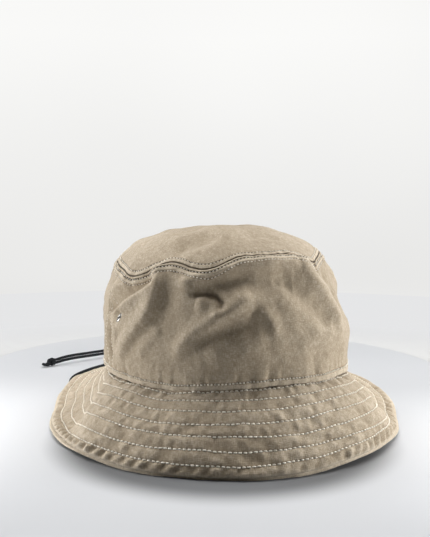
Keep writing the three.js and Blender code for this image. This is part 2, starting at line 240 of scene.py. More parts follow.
def side_swell(turn, width):
    """A bell over the angle round the hat, in radians, that meets itself after a whole turn."""
    return np.exp(2 * (np.cos(turn) - 1) / width ** 2)


def envelope(angle, run):
    """The crown's overall form before folds."""
    turn = np.radians(angle)
    r = np.interp(run, RUN, RUN_R)
    z = np.interp(run, RUN, RUN_Z)
    from_view = np.radians(angle - VIEW_ANGLE)
    right_side = side_swell(from_view - 1.4, 0.75)
    left_side = side_swell(from_view + 1.5, 0.8)
    r = r + right_side * curve_through(*zip(*RIGHT_FORM), z) + left_side * curve_through(*zip(*LEFT_FORM), z)
    across = np.sin(from_view) * r
    # the top slopes down towards the right
    z = z - smooth(126, 140, z) * 0.020 * np.clip(across - 30, 0, 60)
    grow = np.maximum(r, OVAL_FADE)
    x = np.sin(turn) * r * (1 + (HALF_WIDTH - ROUND) / grow)
    y = -np.cos(turn) * r * (1 + (HALF_LENGTH - ROUND) / grow)
    return np.stack([x, y, z], -1)


def outward(shape, angle, run, small=0.4):
    """Unit normals of a surface given as shape(angle, run)."""
    da = shape(angle + small, run) - shape(angle - small, run)
    dr = shape(angle, run + small) - shape(angle, run - small)
    return unit(np.cross(da, dr))


BROAD = Noise(3)
MIDDLE = Noise(5)
FINE = Noise(9)


def seam_run(angle):
    return run_at_height(round_the_hat(SEAM_HEIGHT, angle))


def lip_run(angle):
    return run_at_height(round_the_hat(LIP_HEIGHT, angle))


def unrolled(angle):
    return (angle + MAP_CUT) % 360 - MAP_CUT


# Folds of the crown's side: a path of (degrees round, height), how high its ridge is (a valley
# is below 0), the widths of its left and right flanks, and the length over which its ends fade.
SIDE_FOLDS = [
    # left of the front: the pinch that runs down from the seam's corner
    ([(-90, 88), (-84, 93), (-72, 102), (-61, 111), (-56, 116)], -3.2, 5, 3.4),
    ([(-74, 88), (-71, 95), (-66, 101), (-60, 107), (-56, 112)], 1.8, 3.5, 5),
    ([(-88, 100), (-80, 107), (-72, 112)], 1.6, 6, 6),
    ([(-57, 127), (-53, 112), (-54, 104), (-55, 96), (-59, 86), (-66, 75), (-76, 56)], 2.7, 4.0, 8, 22),
    ([(-50, 112), (-47.5, 99), (-50, 90), (-54, 82)], -1.2, 7, 6, 14),
    ([(-50, 84), (-56, 74), (-62, 62)], 1.1, 4, 4),
    ([(-72, 115), (-76, 110)], -2.0, 5, 5, 4),
    ([(-80, 84), (-78, 76), (-80, 66)], 1.4, 4, 5),
    ([(-85, 80), (-84, 66), (-85, 54)], -1.6, 4, 4),
    # the hooked fold in the middle and the long ridge under it
    ([(-36, 106.5), (-30, 108), (-26.2, 105.8), (-24.2, 102), (-24.6, 97)], -3.0, 3.0, 2.0, 5),
    ([(-35, 101), (-29, 100.5)], 1.5, 6, 6),
    ([(-26.5, 97), (-25, 94)], 0.9, 2.2, 2.2, 3),
    ([(-44, 66), (-39, 75), (-33, 83), (-27, 90), (-21, 96.5), (-15, 102), (-10, 106)], 2.5, 6.5, 5.5, 16),
    ([(-35, 72), (-30, 79), (-23, 84.5), (-15, 87), (-8, 87)], -2.3, 6, 7, 14),
    ([(-30, 66), (-18, 76), (-4, 78)], 1.4, 8, 10, 14),
    ([(-6, 98), (-3, 90), (-1, 80)], 1.1, 5, 5, 8),
    ([(-12, 98), (-9, 92)], -1.2, 5, 5, 6),
    # the bulge under the seam and the shade below it
    ([(-43, 113), (-37, 115.5), (-31, 117.5), (-25, 120.5), (-12, 125.5), (5, 127), (18, 125)],
     1.9, 4, 4, 10),
    ([(-34, 111), (-26, 114), (-16, 117), (-2, 117), (12, 116)], -2.7, 6, 8, 14),
    # right of the front
    ([(18, 128), (23, 118), (29, 105), (35, 93), (38, 80)], 2.8, 9, 6, 12),
    ([(6, 114), (15, 104), (23, 93), (30, 84)], -2.2, 9, 8, 14),
    ([(31, 124), (34, 118)], -1.4, 4, 4, 5),
    ([(40, 118), (46, 106), (48, 92)], -1.8, 7, 8, 12),
    ([(8, 74), (20, 80), (34, 76)], 1.2, 9, 10, 16),
    ([(14, 60), (28, 66), (44, 62)], -1.0, 8, 8, 14),
    # the right side and the back
    ([(60, 118), (68, 104), (80, 96)], 2.0, 8, 8, 12),
    ([(84, 118), (92, 104), (104, 92)], -2.4, 7, 7, 14),
    ([(96, 70), (108, 82), (124, 88)], 2.2, 8, 8, 14),
    ([(118, 112), (130, 104), (146, 106)], -2.2, 8, 7, 14),
    ([(132, 72), (146, 78), (154, 90)], -1.8, 9, 8, 14),
    ([(-170, 110), (-158, 98), (-152, 84)], 2.4, 8, 7, 14),
    ([(-184, 90), (-174, 80), (-160, 74)], -2.0, 8, 8, 14),
    ([(-140, 116), (-130, 102), (-118, 94)], -2.2, 7, 8, 14),
    ([(-122, 72), (-112, 82), (-100, 86)], 2.0, 8, 8, 12),
]
# The top's folds, on paths of (x, y)
TOP_FOLDS = [
    ([(-54, -46), (-38, -52), (-22, -48)], -3.0, 12, 7, 10),
    ([(-22, -58), (-16, -40), (-20, -18)], 1.6, 9, 9, 14),
    ([(20, -30), (46, -18), (60, 4)], -1.3, 14, 12, 18),
    ([(-40, 20), (-10, 34), (24, 30)], -1.8, 16, 14, 20),
    ([(-64, 6), (-56, 28)], 1.4, 9, 9, 12),
]
SIDE_FOLD_GAIN = 1.42
SEAM_ROWS = (-6.2, -2.6, 3.6)
# painted shade in the seam's grooves: each row's place and how much darker the cloth is drawn there
ROW_SHADE = ((-6.2, 2.0), (-2.6, 3.6), (3.6, 2.6), (0.0, 3.4))   # the join itself is at 0
LIP_ROW = 3.4
SIDE_ROWS = (1.6, 8.0)
# each eyelet's name, angle and height, and how much the cloth under it leans
EYELETS = [
    ("left_front", -75.5, 86.0, 0.5), ("left_rear", -104.5, 86.0, 0.12),
    ("right_front", 75.5, 86.0, 0.15), ("right_rear", 104.5, 86.0, 0.1),
]
EYELET_HOLE = 2.4


def side_folds(angle, z):
    """How far the folds of the crown's side stand out, on its unrolled surface."""
    table = [([(a * MM_PER_DEGREE, up) for a, up in path], *form) for path, *form in SIDE_FOLDS]
    return folds(unrolled(angle) * MM_PER_DEGREE, z, table)


def crown_relief(angle, run):
    """How far the crown's cloth stands out of its overall form, and its wear and painted light and shade there.
    """
    base = envelope(angle, run)
    x, y, z = base[..., 0], base[..., 1], base[..., 2]
    to_seam = run - seam_run(angle)
    above_lip = run - lip_run(angle)
    on_side = smooth(2.0, -2.0, to_seam)
    h = on_side * SIDE_FOLD_GAIN * side_folds(angle, z)
    h = h + BROAD(x / 31, y / 31, z / 24) + 0.45 * MIDDLE(x / 10.5, y / 10.5, z / 9)
    h = h + 0.1 * FINE(x / 3.6, y / 3.6, z / 3.1)
    h = h + (1 - on_side) * folds(x, y, TOP_FOLDS)
    # puckers above the base seam
    pucker = MIDDLE(lap(angle, 96), 3.3, z / 60) + 0.8 * FINE(lap(angle, 192), 7.1, z / 40)
    near_base = np.exp(-np.clip(above_lip - 4, 0, None) / 4.5)
    h = h + on_side * near_base * 0.75 * pucker * smooth(2, 6, above_lip)
    # the folded lip, its stitched groove and the cloth behind it
    h = h + on_side * 0.75 * smooth(LIP_ROW + 1.3, LIP_ROW - 0.3, above_lip)
    h = h - on_side * 0.7 * bell(above_lip - LIP_ROW, 0.7)
    h = h + on_side * 0.4 * MIDDLE(lap(angle, 192), 1.7, 0.4) * smooth(6, 3, above_lip)
    # the seam between side and top: a raised band, grooves at the rows, a sharp join
    band = smooth(-7.6, -6.2, to_seam) * smooth(5.0, 3.6, to_seam)
    ripple = FINE(lap(angle, 240), 4.4, to_seam / 9) + 0.7 * MIDDLE(lap(angle, 96), 2.4, to_seam / 7)
    h = h + 0.5 * band + 0.4 * band * ripple
    for row in SEAM_ROWS:
        h = h - 0.65 * bell(to_seam - row, 0.6)
    h = h - 0.55 * bell(to_seam, 0.4)
    # the side seams: a flat strip and a stitched ridge on each side of the join
    for seam in (-90, 90):
        off = wrapped(angle - seam) * MM_PER_DEGREE
        h = h + on_side * (0.4 * bell(off - 3.5, 3.4) - 0.22 * bell(off, 0.45))
        for row in SIDE_ROWS:
            h = h - on_side * 0.4 * bell(off - row, 0.7)
        h = h + on_side * 0.22 * bell(off - 4.5, 4.5) * FINE(z / 3.2, seam, 0.5)
    # the cloth lies flat round each eyelet
    for _, place_round, up, lean in EYELETS:
        off = wrapped(angle - place_round) * MM_PER_DEGREE
        near = np.exp(-((np.hypot(off, z - up) / 6.5) ** 4))
        h = h * (1 - 0.98 * near) + near * lean * (0.5 * off - (z - up))
    # real wear lightens the folded lip; the raised seam band and cloth that stands out are lighter, partly real
    # wear and partly painted light
    wear_and_shade = 0.8 * smooth(4.4, 2.0, above_lip) * on_side + band + 0.10 * np.clip(h, -2, 3)
    # painted shade: the cloth is darker along the seam's rows and its join
    for row, row_shade_depth in ROW_SHADE:
        wear_and_shade = wear_and_shade - row_shade_depth * bell(to_seam - row, 0.7)
    # painted shade: darker along the groove of the lip's stitched row
    return h, wear_and_shade - 1.5 * on_side * bell(above_lip - LIP_ROW, 0.6)


def crown(angle, run, depth=0.0):
    angle, run = np.broadcast_arrays(np.asarray(angle, float), np.asarray(run, float))
    relief, _ = crown_relief(angle, run)
    inner_run = np.minimum(run, WHOLE_RUN - 0.8)
    normal = outward(envelope, angle, inner_run)
    apex = smooth(WHOLE_RUN - 6, WHOLE_RUN - 1, run)[..., None]
    normal = normal * (1 - apex) + np.array([0, 0, 1.0]) * apex
    return envelope(angle, run) + normal * (relief - depth)[..., None]


# ---- the brim's shape

EDGE_HEIGHT = [
    (-180, 17.5), (-153, 16.5), (-140, 14.0), (-129, 9.0), (-115, 5.0), (-100, 4.2), (-80, 4.0), (-64, 3.0),
    (-50, 1.6), (-36, 1.1), (-21, 1.0), (-5, 1.1), (5, 2.0), (15, 3.8), (30, 5.0), (50, 4.8), (69, 4.4),
    (80, 8.4), (89, 11.6), (104, 15.3), (130, 18),
]
EDGE_REACH = [
    (-180, 150), (-153, 149), (-140, 146.5), (-129, 140), (-115, 130.6), (-100, 128.4), (-80, 128.4), (-64, 130),
    (-50, 131.8), (-36, 132.6), (-21, 133), (-5, 133), (5, 132.8), (15, 132.2), (30, 131.6), (50, 130.6),
    (69, 131), (80, 136.6), (89, 139.8), (104, 143), (130, 147),
]
BEND = [(-180, -0.5), (-150, -0.8), (-128, -1.4), (-108, -1.5), (-96, -1.2), (-85, 0.2), (-75, 0.95), (-50, 1.0),
        (-20, 1.0), (10, 1.0), (32, 1.0), (42, 0.7), (52, -0.4), (63, -1.3), (85, -1.4), (120, -0.8), (150, -0.5)]
BRIM_PLY = 1.2
UNDER_DEPTH = 2.1        # from the upper face to the under ply
UNDER_PLY = 1.0
BRIM_WIDTH = 61.0
ROW_SHARES = [0.075, 0.195, 0.325, 0.47, 0.61, 0.755, 0.89]
ROW_DRIFTS = {5: 0.036, 6: -0.036}   # these rows come together at the front right
RIDGE_ANGLE = -82.0      # the ridge down the brim's left leans round the hat
RIDGE_LEAN = 20.0
ROPE_RIDGES = 92         # slanted ridges round the brim's edge
# The brim's creases, on paths of (about millimetres round the hat, millimetres out)
BRIM_CREASES = [
    ([(-8, 20), (6, 27), (20, 36)], -0.9, 4, 4, 8),
    ([(-2, 34), (14, 44), (26, 49)], -0.9, 5, 4, 8),
    ([(20, 16), (30, 24), (34, 34)], -0.7, 3, 4, 8),
    ([(-40, 42), (-22, 48), (0, 47)], -0.8, 5, 5, 10),
]


def brim_frame(angle, share):
    """Start and end of the brim's section at an angle, and the slopes there."""
    turn = np.radians(angle)
    base = envelope(angle, lip_run(angle) + 1.0)
    r0 = np.hypot(base[..., 0], base[..., 1]) - 2.6
    z0 = base[..., 2] - 0.6
    r1 = round_the_hat(EDGE_REACH, angle)
    z1 = round_the_hat(EDGE_HEIGHT, angle) + UNDER_DEPTH * 0.55
    chord = np.arctan2(z0 - z1, r1 - r0)
    lean = RIDGE_LEAN * (share - 0.12) * bell(wrapped(angle - RIDGE_ANGLE), 22)
    bend = round_the_hat(BEND, angle - lean)
    return turn, r0, z0, r1, z1, chord - np.radians(25) * bend, chord + np.radians(23) * bend


def brim_form(angle, share):
    turn, r0, z0, r1, z1, first, last = brim_frame(angle, share)
    third = np.hypot(r1 - r0, z1 - z0) / 2.9
    t = share
    a, b, c, d = (1 - t) ** 3, 3 * t * (1 - t) ** 2, 3 * t * t * (1 - t), t ** 3
    r = a * r0 + b * (r0 + third * np.cos(first)) + c * (r1 - third * np.cos(last)) + d * r1
    z = a * z0 + b * (z0 - third * np.sin(first)) + c * (z1 + third * np.sin(last)) + d * z1
    return np.stack([np.sin(turn) * r, -np.cos(turn) * r, z], -1)


def row_share(row, angle):
    """Where a stitched row runs, as a share of the brim's width, with its small wanderings."""
    angle = np.asarray(angle, float)
    wander = 0.010 * BROAD(lap(angle, 24), row * 3.7, 0.2)
    wander = wander + 0.004 * MIDDLE(lap(angle, 96), row * 2.3, 0.6)
    return ROW_SHARES[row] + wander + ROW_DRIFTS.get(row, 0.0) * bell(angle - 50, 26)


def brim_relief(angle, share):
    """How far the brim's cloth stands out of its overall form, and its wear and painted light and shade there."""
    base = brim_form(angle, share)
    x, y, z = base[..., 0], base[..., 1], base[..., 2]
    along = share * BRIM_WIDTH
    circle = lap(angle, 1)
    h = 0.55 * BROAD(x / 26, y / 26, z / 22) + 0.3 * MIDDLE(x / 9.5, y / 9.5, z / 8)
    h = h + 0.09 * FINE(x / 3.1, y / 3.1, z / 3.1)
    # cloth swells between the rows and is drawn in along them, with puckers across each channel
    stitched = [row_share(k, angle) * BRIM_WIDTH for k in range(len(ROW_SHARES))]
    rows = [0.0 * angle] + stitched + [0.0 * angle + BRIM_WIDTH]
    swell = np.zeros(np.shape(along))
    pucker = np.zeros(np.shape(along))
    for k in range(len(rows) - 1):
        width = np.maximum(rows[k + 1] - rows[k], 0.5)
        inside = np.clip((along - rows[k]) / width, 0, 1)
        arch = np.where((along >= rows[k]) & (along < rows[k + 1]), np.sin(np.pi * inside) ** 0.7, 0)
        edge = k == len(rows) - 2
        swell = swell + arch * (0.62 if edge else 0.5)
        wave = MIDDLE(circle * 24 * (4 if edge else 5), 3.1 * k + 1.3, inside * 0.8)
        wave = wave + 0.8 * FINE(circle * 24 * 9, 5.3 * k, inside * 1.2)
        pucker = pucker + arch * wave * (0.4 if edge else 0.42 if k < 3 else 0.58)
    h = h + swell + pucker
    for row in stitched:
        h = h - 0.30 * bell(along - row, 0.7)
    # the edge channel is roped: slanted ridges at an even spacing
    rope = np.sin(circle * 2 * np.pi * ROPE_RIDGES + 2.2 * BROAD(circle * 24, 8.8, 0.1) + (along - 55) * 0.35)
    strength = 0.30 + 0.90 * bell(wrapped(angle + 75), 34) + 0.75 * bell(angle - 50, 30)
    in_edge = smooth(stitched[-1] + 0.3, stitched[-1] + 1.8, along) * smooth(61.2, 58.4, along)
    h = h + 0.95 * strength * in_edge * rope
    # gathers just below the crown
    gather = MIDDLE(circle * 24 * 4, 9.9, along / 8) + 0.7 * FINE(circle * 24 * 8, 6.1, along / 6)
    h = h + 0.45 * gather * smooth(2, 5, along) * smooth(13, 5, along) - 1.1 * bell(along, 2.6)
    h = folds(unrolled(angle) * 1.9, along, BRIM_CREASES, h)
    # lighter on the swells and puckers between the rows, partly real wear and partly painted light, and lighter
    # at the worn edge
    wear_and_shade = 0.45 * swell + 0.65 * pucker + 1.3 * smooth(58.5, 61, along) + 0.1 * h
    # painted shade: darker along the grooves of the stitched rows
    for row in stitched:
        wear_and_shade = wear_and_shade - bell(along - row, 0.6)
    # painted shade just below the crown's lip and in the rope's valleys, with painted light on the rope's ridges
    return h, wear_and_shade - 2.4 * bell(along, 3.2) + 0.8 * strength * in_edge * np.minimum(rope, 0.4)


def brim(angle, share, depth=0.0):
    angle, share = np.broadcast_arrays(np.asarray(angle, float), np.asarray(share, float))
    relief, _ = brim_relief(angle, share)
    small = 0.01
    safe = np.clip(share, small, 1 - small)
    da = brim_form(angle + 0.4, safe) - brim_form(angle - 0.4, safe)
    ds = brim_form(angle, safe + small) - brim_form(angle, safe - small)
    normal = unit(-np.cross(da, ds))
    return brim_form(angle, share) + normal * (relief - depth)[..., None]


# ---- meshes


def link(obj):
    scene.collection.objects.link(obj)
    return obj


def mesh_object(name, points, faces, look, uv=None, wear_and_shade=None, smooth_faces=True):
    """points in millimetres; faces as arrays of corner indices; uv in millimetres, per point."""
    mesh = bpy.data.meshes.new(name)
    mesh.from_pydata((np.asarray(points) / 1000).tolist(), [], faces)
    mesh.update()
    if uv is not None:
        layer = mesh.uv_layers.new(name="cloth")
        corner = np.zeros(len(mesh.loops), np.int32)
        mesh.loops.foreach_get("vertex_index", corner)
        layer.data.foreach_set("uv", (np.asarray(uv)[corner] / 1000).astype(np.float32).ravel())
    if wear_and_shade is not None:
        attribute = mesh.attributes.new("wear_and_shade", "FLOAT", "POINT")
        attribute.data.foreach_set("value", np.asarray(wear_and_shade, np.float32).ravel())
    if smooth_faces:
        mesh.polygons.foreach_set("use_smooth", np.ones(len(mesh.polygons), bool))
    mesh.materials.append(look)
    return link(bpy.data.objects.new(name, mesh))


def grid_faces(rows, cols, closed, wrap=False, flip=False):
    """Quads of a grid of points. closed joins its last column to its first, wrap its last row."""
    r = np.arange(rows if wrap else rows - 1)[:, None]
    c = np.arange(cols if closed else cols - 1)[None, :]
    after, beside = (r + 1) % rows, (c + 1) % cols
    quads = [r * cols + c, r * cols + beside, after * cols + beside, after * cols + c]
    quads = np.stack(quads, -1).reshape(-1, 4)
    return quads[:, ::-1] if flip else quads


RIM_STEPS = 4            # quads round a ply's rim


def around(grid):
    """A ply's rows: the grid's, then the same back, with its last and first held round each rim."""
    last, first = np.repeat(grid[-1:], RIM_STEPS - 1, 0), np.repeat(grid[:1], RIM_STEPS - 1, 0)
    return np.concatenate([grid, last, grid[::-1], first], 0)


def rim(outer, inner, row, inwards, push):
    """The rows that round a ply's rim, from its outer side to its inner one."""
    away = unit(outer[row] - outer[inwards])
    middle = (outer[row] + inner[row]) / 2
    half = (outer[row] - inner[row]) / 2
    turns = [math.pi * k / RIM_STEPS for k in range(1, RIM_STEPS)]
    return np.array([middle + half * math.cos(turn) + away * push * math.sin(turn) for turn in turns])


def under(row, rows):
    """The row of a ply's inner side that backs a row of its outer side."""
    return rows + RIM_STEPS - 1 + (rows - 1 - row)


def punch(faces, outer, holes):
    """Leaves out the faces near each hole's centre on both sides of a ply made by shell(), and
    walls the cut between them. holes is a list of (centre, radius)."""
    rows, cols = outer.shape[:2]
    middles = (outer[1:, 1:] + outer[:-1, :-1] + outer[1:, :-1] + outer[:-1, 1:]) / 4
    cut = np.zeros(middles.shape[:2], bool)
    for centre, radius in holes:
        cut |= np.linalg.norm(middles - centre, axis=-1) < radius
    places = list(zip(*np.nonzero(cut)))
    gone = {row * (cols - 1) + c for r, c in places for row in (r, under(r + 1, rows))}
    kept = [face for k, face in enumerate(faces) if k not in gone]
    for r, c in places:
        edges = (
            ((r - 1, c), (r, c), (r, c + 1)),
            ((r + 1, c), (r + 1, c + 1), (r + 1, c)),
            ((r, c - 1), (r + 1, c), (r, c)),
            ((r, c + 1), (r, c + 1), (r + 1, c + 1)),
        )
        for beside, a, b in edges:
            if not cut[beside]:
                above = [row * cols + col for row, col in (b, a)]
                below = [under(row, rows) * cols + col for row, col in (a, b)]
                kept.append([int(corner) for corner in above + below])
    return kept


def side_walls(rows, total, cols):
    """Faces that close the two cut sides of a ply made by shell()."""
    walls = []
    for col, flip in ((0, False), (cols - 1, True)):
        chains = [[k, k + 1, under(k + 1, rows), under(k, rows)] for k in range(rows - 1)]
        chains.append([*range(rows - 1, rows + RIM_STEPS)])
        chains.append([under(0, rows), *range(total - RIM_STEPS + 1, total), 0])
        for chain in chains:
            corners = [row * cols + col for row in chain]
            walls.append(corners[::-1] if flip else corners)
    return walls


def shell(name, outer, inner, look, closed, uv, wear_and_shade, bulge, holes=()):
    """A ply between two grids of points, rows by columns. bulge is how far its first and last rims
    stand out."""
    rows, cols = outer.shape[:2]
    last = rim(outer, inner, -1, -2, bulge[1])
    first = rim(outer, inner, 0, 1, bulge[0])
    points = np.concatenate([outer, last, inner[::-1], first[::-1]], 0)
    faces = grid_faces(len(points), cols, closed, wrap=True).tolist()
    if holes:
        faces = punch(faces, outer, holes)
    round_faces = len(faces)
    if not closed:
        faces += side_walls(rows, len(points), cols)
    ply = mesh_object(name, points.reshape(-1, 3), faces, look, around(uv).reshape(-1, 2), around(wear_and_shade))
    ply.data.polygons.foreach_set("use_smooth", np.arange(len(faces)) < round_faces)
    ply.data.update()
    return ply


def stitches(name, centres, along, normal, length, thick, sink=0.05):
    """Short threads that dip into the cloth at both ends, one for each row of the arrays."""
    sides, rings = 6, 7
    t = np.linspace(-1, 1, rings)
    thick = thick[:, None]
    shape = np.sqrt(np.clip(1 - (np.abs(t) * 0.93) ** 4, 0.02, 1)) / 2
    side = unit(np.cross(normal, along))
    turn = 2 * np.pi * np.arange(sides) / sides
    n = len(centres)
    points = np.zeros((n, rings, sides, 3))
    for i in range(rings):
        lift = thick * 0.5 * (1 - t[i] ** 2) - sink
        middle = centres + along * (t[i] * length[:, None] / 2) + normal * lift
        for j in range(sides):
            spoke = math.cos(turn[j]) * side + math.sin(turn[j]) * normal
            points[:, i, j] = middle + thick * shape[i] * spoke
    base = grid_faces(rings, sides, True, flip=True)
    caps = [list(range(sides)), [(rings - 1) * sides + k for k in range(sides)][::-1]]
    faces = []
    per = rings * sides
    for k in range(n):
        faces += (base + k * per).tolist()
        faces += [[c + k * per for c in cap] for cap in caps]
    uv = np.zeros((n, rings, sides, 2))
    uv[..., 0] = (np.arange(n)[:, None, None] * 7.3) + t[None, :, None] * 1.5
    uv[..., 1] = np.arange(sides)[None, None, :] * 0.25
    return mesh_object(name, points.reshape(-1, 3), faces, thread, uv.reshape(-1, 2))


# ---- materials


class Nodes:
    """Short names for making shader nodes."""

    def __init__(self, name):
        self.material = bpy.data.materials.new(name)
        self.material.use_nodes = True
        self.tree = self.material.node_tree
        self.tree.nodes.clear()
        self.output = self.tree.nodes.new("ShaderNodeOutputMaterial")
        self.shader = self.tree.nodes.new("ShaderNodeBsdfPrincipled")
        self.join(self.shader.outputs[0], self.output.inputs["Surface"])

    def join(self, a, b):
        self.tree.links.new(a, b)

    def put(self, socket, value):
        if isinstance(value, bpy.types.NodeSocket):
            self.join(value, socket)
        else:
            socket.default_value = value

    def math(self, kind, a, b=0.0, c=0.0):
        node = self.tree.nodes.new("ShaderNodeMath")
        node.operation = kind
        for socket, value in zip(node.inputs, (a, b, c)):
            self.put(socket, value)
        return node.outputs[0]

    def mix(self, share, a, b, kind="MIX"):
        node = self.tree.nodes.new("ShaderNodeMix")
        node.data_type = "RGBA"
        node.blend_type = kind
        node.clamp_factor = True
        self.put(node.inputs["Factor"], share)
        for socket, value in ((node.inputs[6], a), (node.inputs[7], b)):
            if isinstance(value, tuple):
                value = (*value, 1.0)
            self.put(socket, value)
        return node.outputs[2]

    def coordinates(self, scale, kind="UV"):
        source = self.tree.nodes.new("ShaderNodeTexCoord")
        mapping = self.tree.nodes.new("ShaderNodeMapping")
        mapping.inputs["Scale"].default_value = scale
        self.join(source.outputs[kind], mapping.inputs["Vector"])
        return mapping.outputs[0]

    def noise(self, scale, kind="UV", detail=2.0, rough=0.5):
        node = self.tree.nodes.new("ShaderNodeTexNoise")
        node.inputs["Scale"].default_value = 1.0
        node.inputs["Detail"].default_value = detail
        node.inputs["Roughness"].default_value = rough
        self.join(self.coordinates(scale, kind), node.inputs["Vector"])
        return node.outputs["Fac"]

    def waves(self, scale, direction):
        node = self.tree.nodes.new("ShaderNodeTexWave")
        node.bands_direction = direction
        node.inputs["Scale"].default_value = 1.0
        node.inputs["Distortion"].default_value = 0.0
        self.join(self.coordinates(scale), node.inputs["Vector"])
        return node.outputs["Fac"]

    def ramp(self, value, low, high, at_low, at_high):
        """A smooth step between two values."""
        node = self.tree.nodes.new("ShaderNodeMapRange")
        node.interpolation_type = "SMOOTHSTEP"
        self.join(value, node.inputs["Value"])
        for socket, end in (("From Min", low), ("From Max", high), ("To Min", at_low), ("To Max", at_high)):
            node.inputs[socket].default_value = end
        return node.outputs["Result"]

    def distance(self, source, spot):
        """Distance on the floor from a spot given as (across the view, back)."""
        node = self.tree.nodes.new("ShaderNodeVectorMath")
        node.operation = "DISTANCE"
        self.join(source.outputs["Object"], node.inputs[0])
        node.inputs[1].default_value = (*(ASIDE * spot[0] + AHEAD * spot[1]), 0.0)
        return node.outputs["Value"]

    def attribute(self, name):
        node = self.tree.nodes.new("ShaderNodeAttribute")
        node.attribute_name = name
        return node.outputs["Fac"]

    def bump(self, height, strength, distance, under=None):
        node = self.tree.nodes.new("ShaderNodeBump")
        node.inputs["Strength"].default_value = strength
        node.inputs["Distance"].default_value = distance
        self.join(height, node.inputs["Height"])
        if under is not None:
            self.join(under, node.inputs["Normal"])
        return node.outputs[0]

    def finish(self, colour, roughness, normal=None, **constants):
        if isinstance(colour, tuple):
            colour = (*colour, 1.0)
        self.put(self.shader.inputs["Base Color"], colour)
        self.put(self.shader.inputs["Roughness"], roughness)
        if normal is not None:
            self.join(normal, self.shader.inputs["Normal"])
        for name, value in constants.items():
            self.shader.inputs[name.replace("_", " ")].default_value = value
        return self.material


WEAVE = 1900 / 6.2832    # gives the wave texture bands about 1 mm apart


def woven(name, dark, middle, light, slub=0.5):
    """Washed woven cotton: threads, slubs, faded patches, and a point attribute that lightens the cloth where it
    stands out, partly real wear and partly painted light, and darkens it in grooves as painted shade.
    """
    n = Nodes(name)
    weft = n.noise((420, 1900, 1), detail=2.0)
    warp = n.noise((1900, 330, 1), detail=2.0)
    threads_mix = n.math("ADD", n.math("MULTIPLY", weft, 0.5), n.math("MULTIPLY", warp, 0.5))
    faded = n.noise((26, 26, 26), "Object", detail=4.0, rough=0.6)
    mottle = n.noise((330, 330, 330), "Object", detail=3.0, rough=0.7)
    tone = n.math("MULTIPLY_ADD", n.math("SUBTRACT", threads_mix, 0.5), 3.4 * slub, 0.5)
    tone = n.math("MULTIPLY_ADD", n.math("SUBTRACT", faded, 0.5), 0.40, tone)
    tone = n.math("MULTIPLY_ADD", n.math("SUBTRACT", mottle, 0.5), 0.85, tone)
    wear_and_shade_value = n.attribute("wear_and_shade")
    tone = n.math("MULTIPLY_ADD", wear_and_shade_value, 0.30, tone)
    low = n.mix(n.math("MULTIPLY", tone, 2.0), dark, middle)
    high = n.math("SUBTRACT", n.math("MULTIPLY", tone, 2.0), 1.0)
    colour = n.mix(high, low, light)
    # painted shade: where the point attribute is below 0, in seams and grooves, the cloth is darkened
    groove_shade = n.math("MINIMUM", n.math("MAXIMUM", n.math("MULTIPLY_ADD", wear_and_shade_value, -0.62, -0.22), 0.0), 0.85)
    colour = n.mix(groove_shade, colour, tuple(0.22 * c for c in dark))
    across = n.waves((WEAVE, 0, 0), "X")
    up = n.waves((0, WEAVE, 0), "Y")
    weave = n.math("MULTIPLY", across, up)
    fuzz = n.noise((2600, 2600, 2600), "Object", detail=2.0)
    first = n.bump(threads_mix, 0.55, 0.0004)
    second = n.bump(weave, 0.35, 0.00012, first)
    third = n.bump(n.math("ADD", fuzz, mottle), 0.30, 0.0003, second)
    rough = n.math("MULTIPLY_ADD", faded, 0.12, 0.84)
    return n.finish(colour, rough, third, Sheen_Weight=0.2, Sheen_Roughness=0.5, Specular_IOR_Level=0.15)


khaki = woven("khaki_cotton", (0.270, 0.212, 0.142), (0.395, 0.322, 0.230), (0.610, 0.524, 0.408))
under_cloth = woven("under_brim_cotton", (0.34, 0.27, 0.18), (0.47, 0.385, 0.275), (0.66, 0.57, 0.44))
tape_cloth = woven("seam_tape", (0.30, 0.235, 0.155), (0.40, 0.32, 0.22), (0.52, 0.44, 0.32), slub=0.7)
lining_cloth = woven("sweatband_cotton", (0.62, 0.57, 0.47), (0.74, 0.69, 0.58), (0.82, 0.78, 0.70), slub=0.4)
label_cloth = woven("label_cloth", (0.66, 0.63, 0.56), (0.76, 0.73, 0.66), (0.84, 0.82, 0.77), slub=0.3)
felt = woven("interlining", (0.60, 0.58, 0.52), (0.70, 0.68, 0.62), (0.80, 0.78, 0.73), slub=0.8)


def thread_material():
    n = Nodes("stitching_thread")
    twist = n.waves((900, 500, 0), "DIAGONAL")
    spots = n.noise((300, 300, 300), "Object", detail=2.0)
    colour = n.mix(n.math("MULTIPLY_ADD", twist, 0.35, n.math("MULTIPLY", spots, 0.6)),
                   (0.80, 0.73, 0.60), (0.97, 0.93, 0.85))
    bump = n.bump(twist, 0.4, 0.0001)
    return n.finish(colour, n.math("MULTIPLY_ADD", spots, 0.2, 0.5), bump, Sheen_Weight=0.2,
                    Specular_IOR_Level=0.3)


def metal_material():
    n = Nodes("eyelet_metal")
    scuffs = n.noise((900, 900, 900), "Object", detail=4.0, rough=0.7)
    brushed = n.noise((300, 300, 4000), "Object", detail=2.0)
    colour = n.mix(scuffs, (0.34, 0.33, 0.31), (0.52, 0.51, 0.48))
    rough = n.math("MULTIPLY_ADD", scuffs, 0.25, 0.28)
    bump = n.bump(n.math("ADD", scuffs, brushed), 0.08, 0.0002)
    return n.finish(colour, rough, bump, Metallic=1.0)


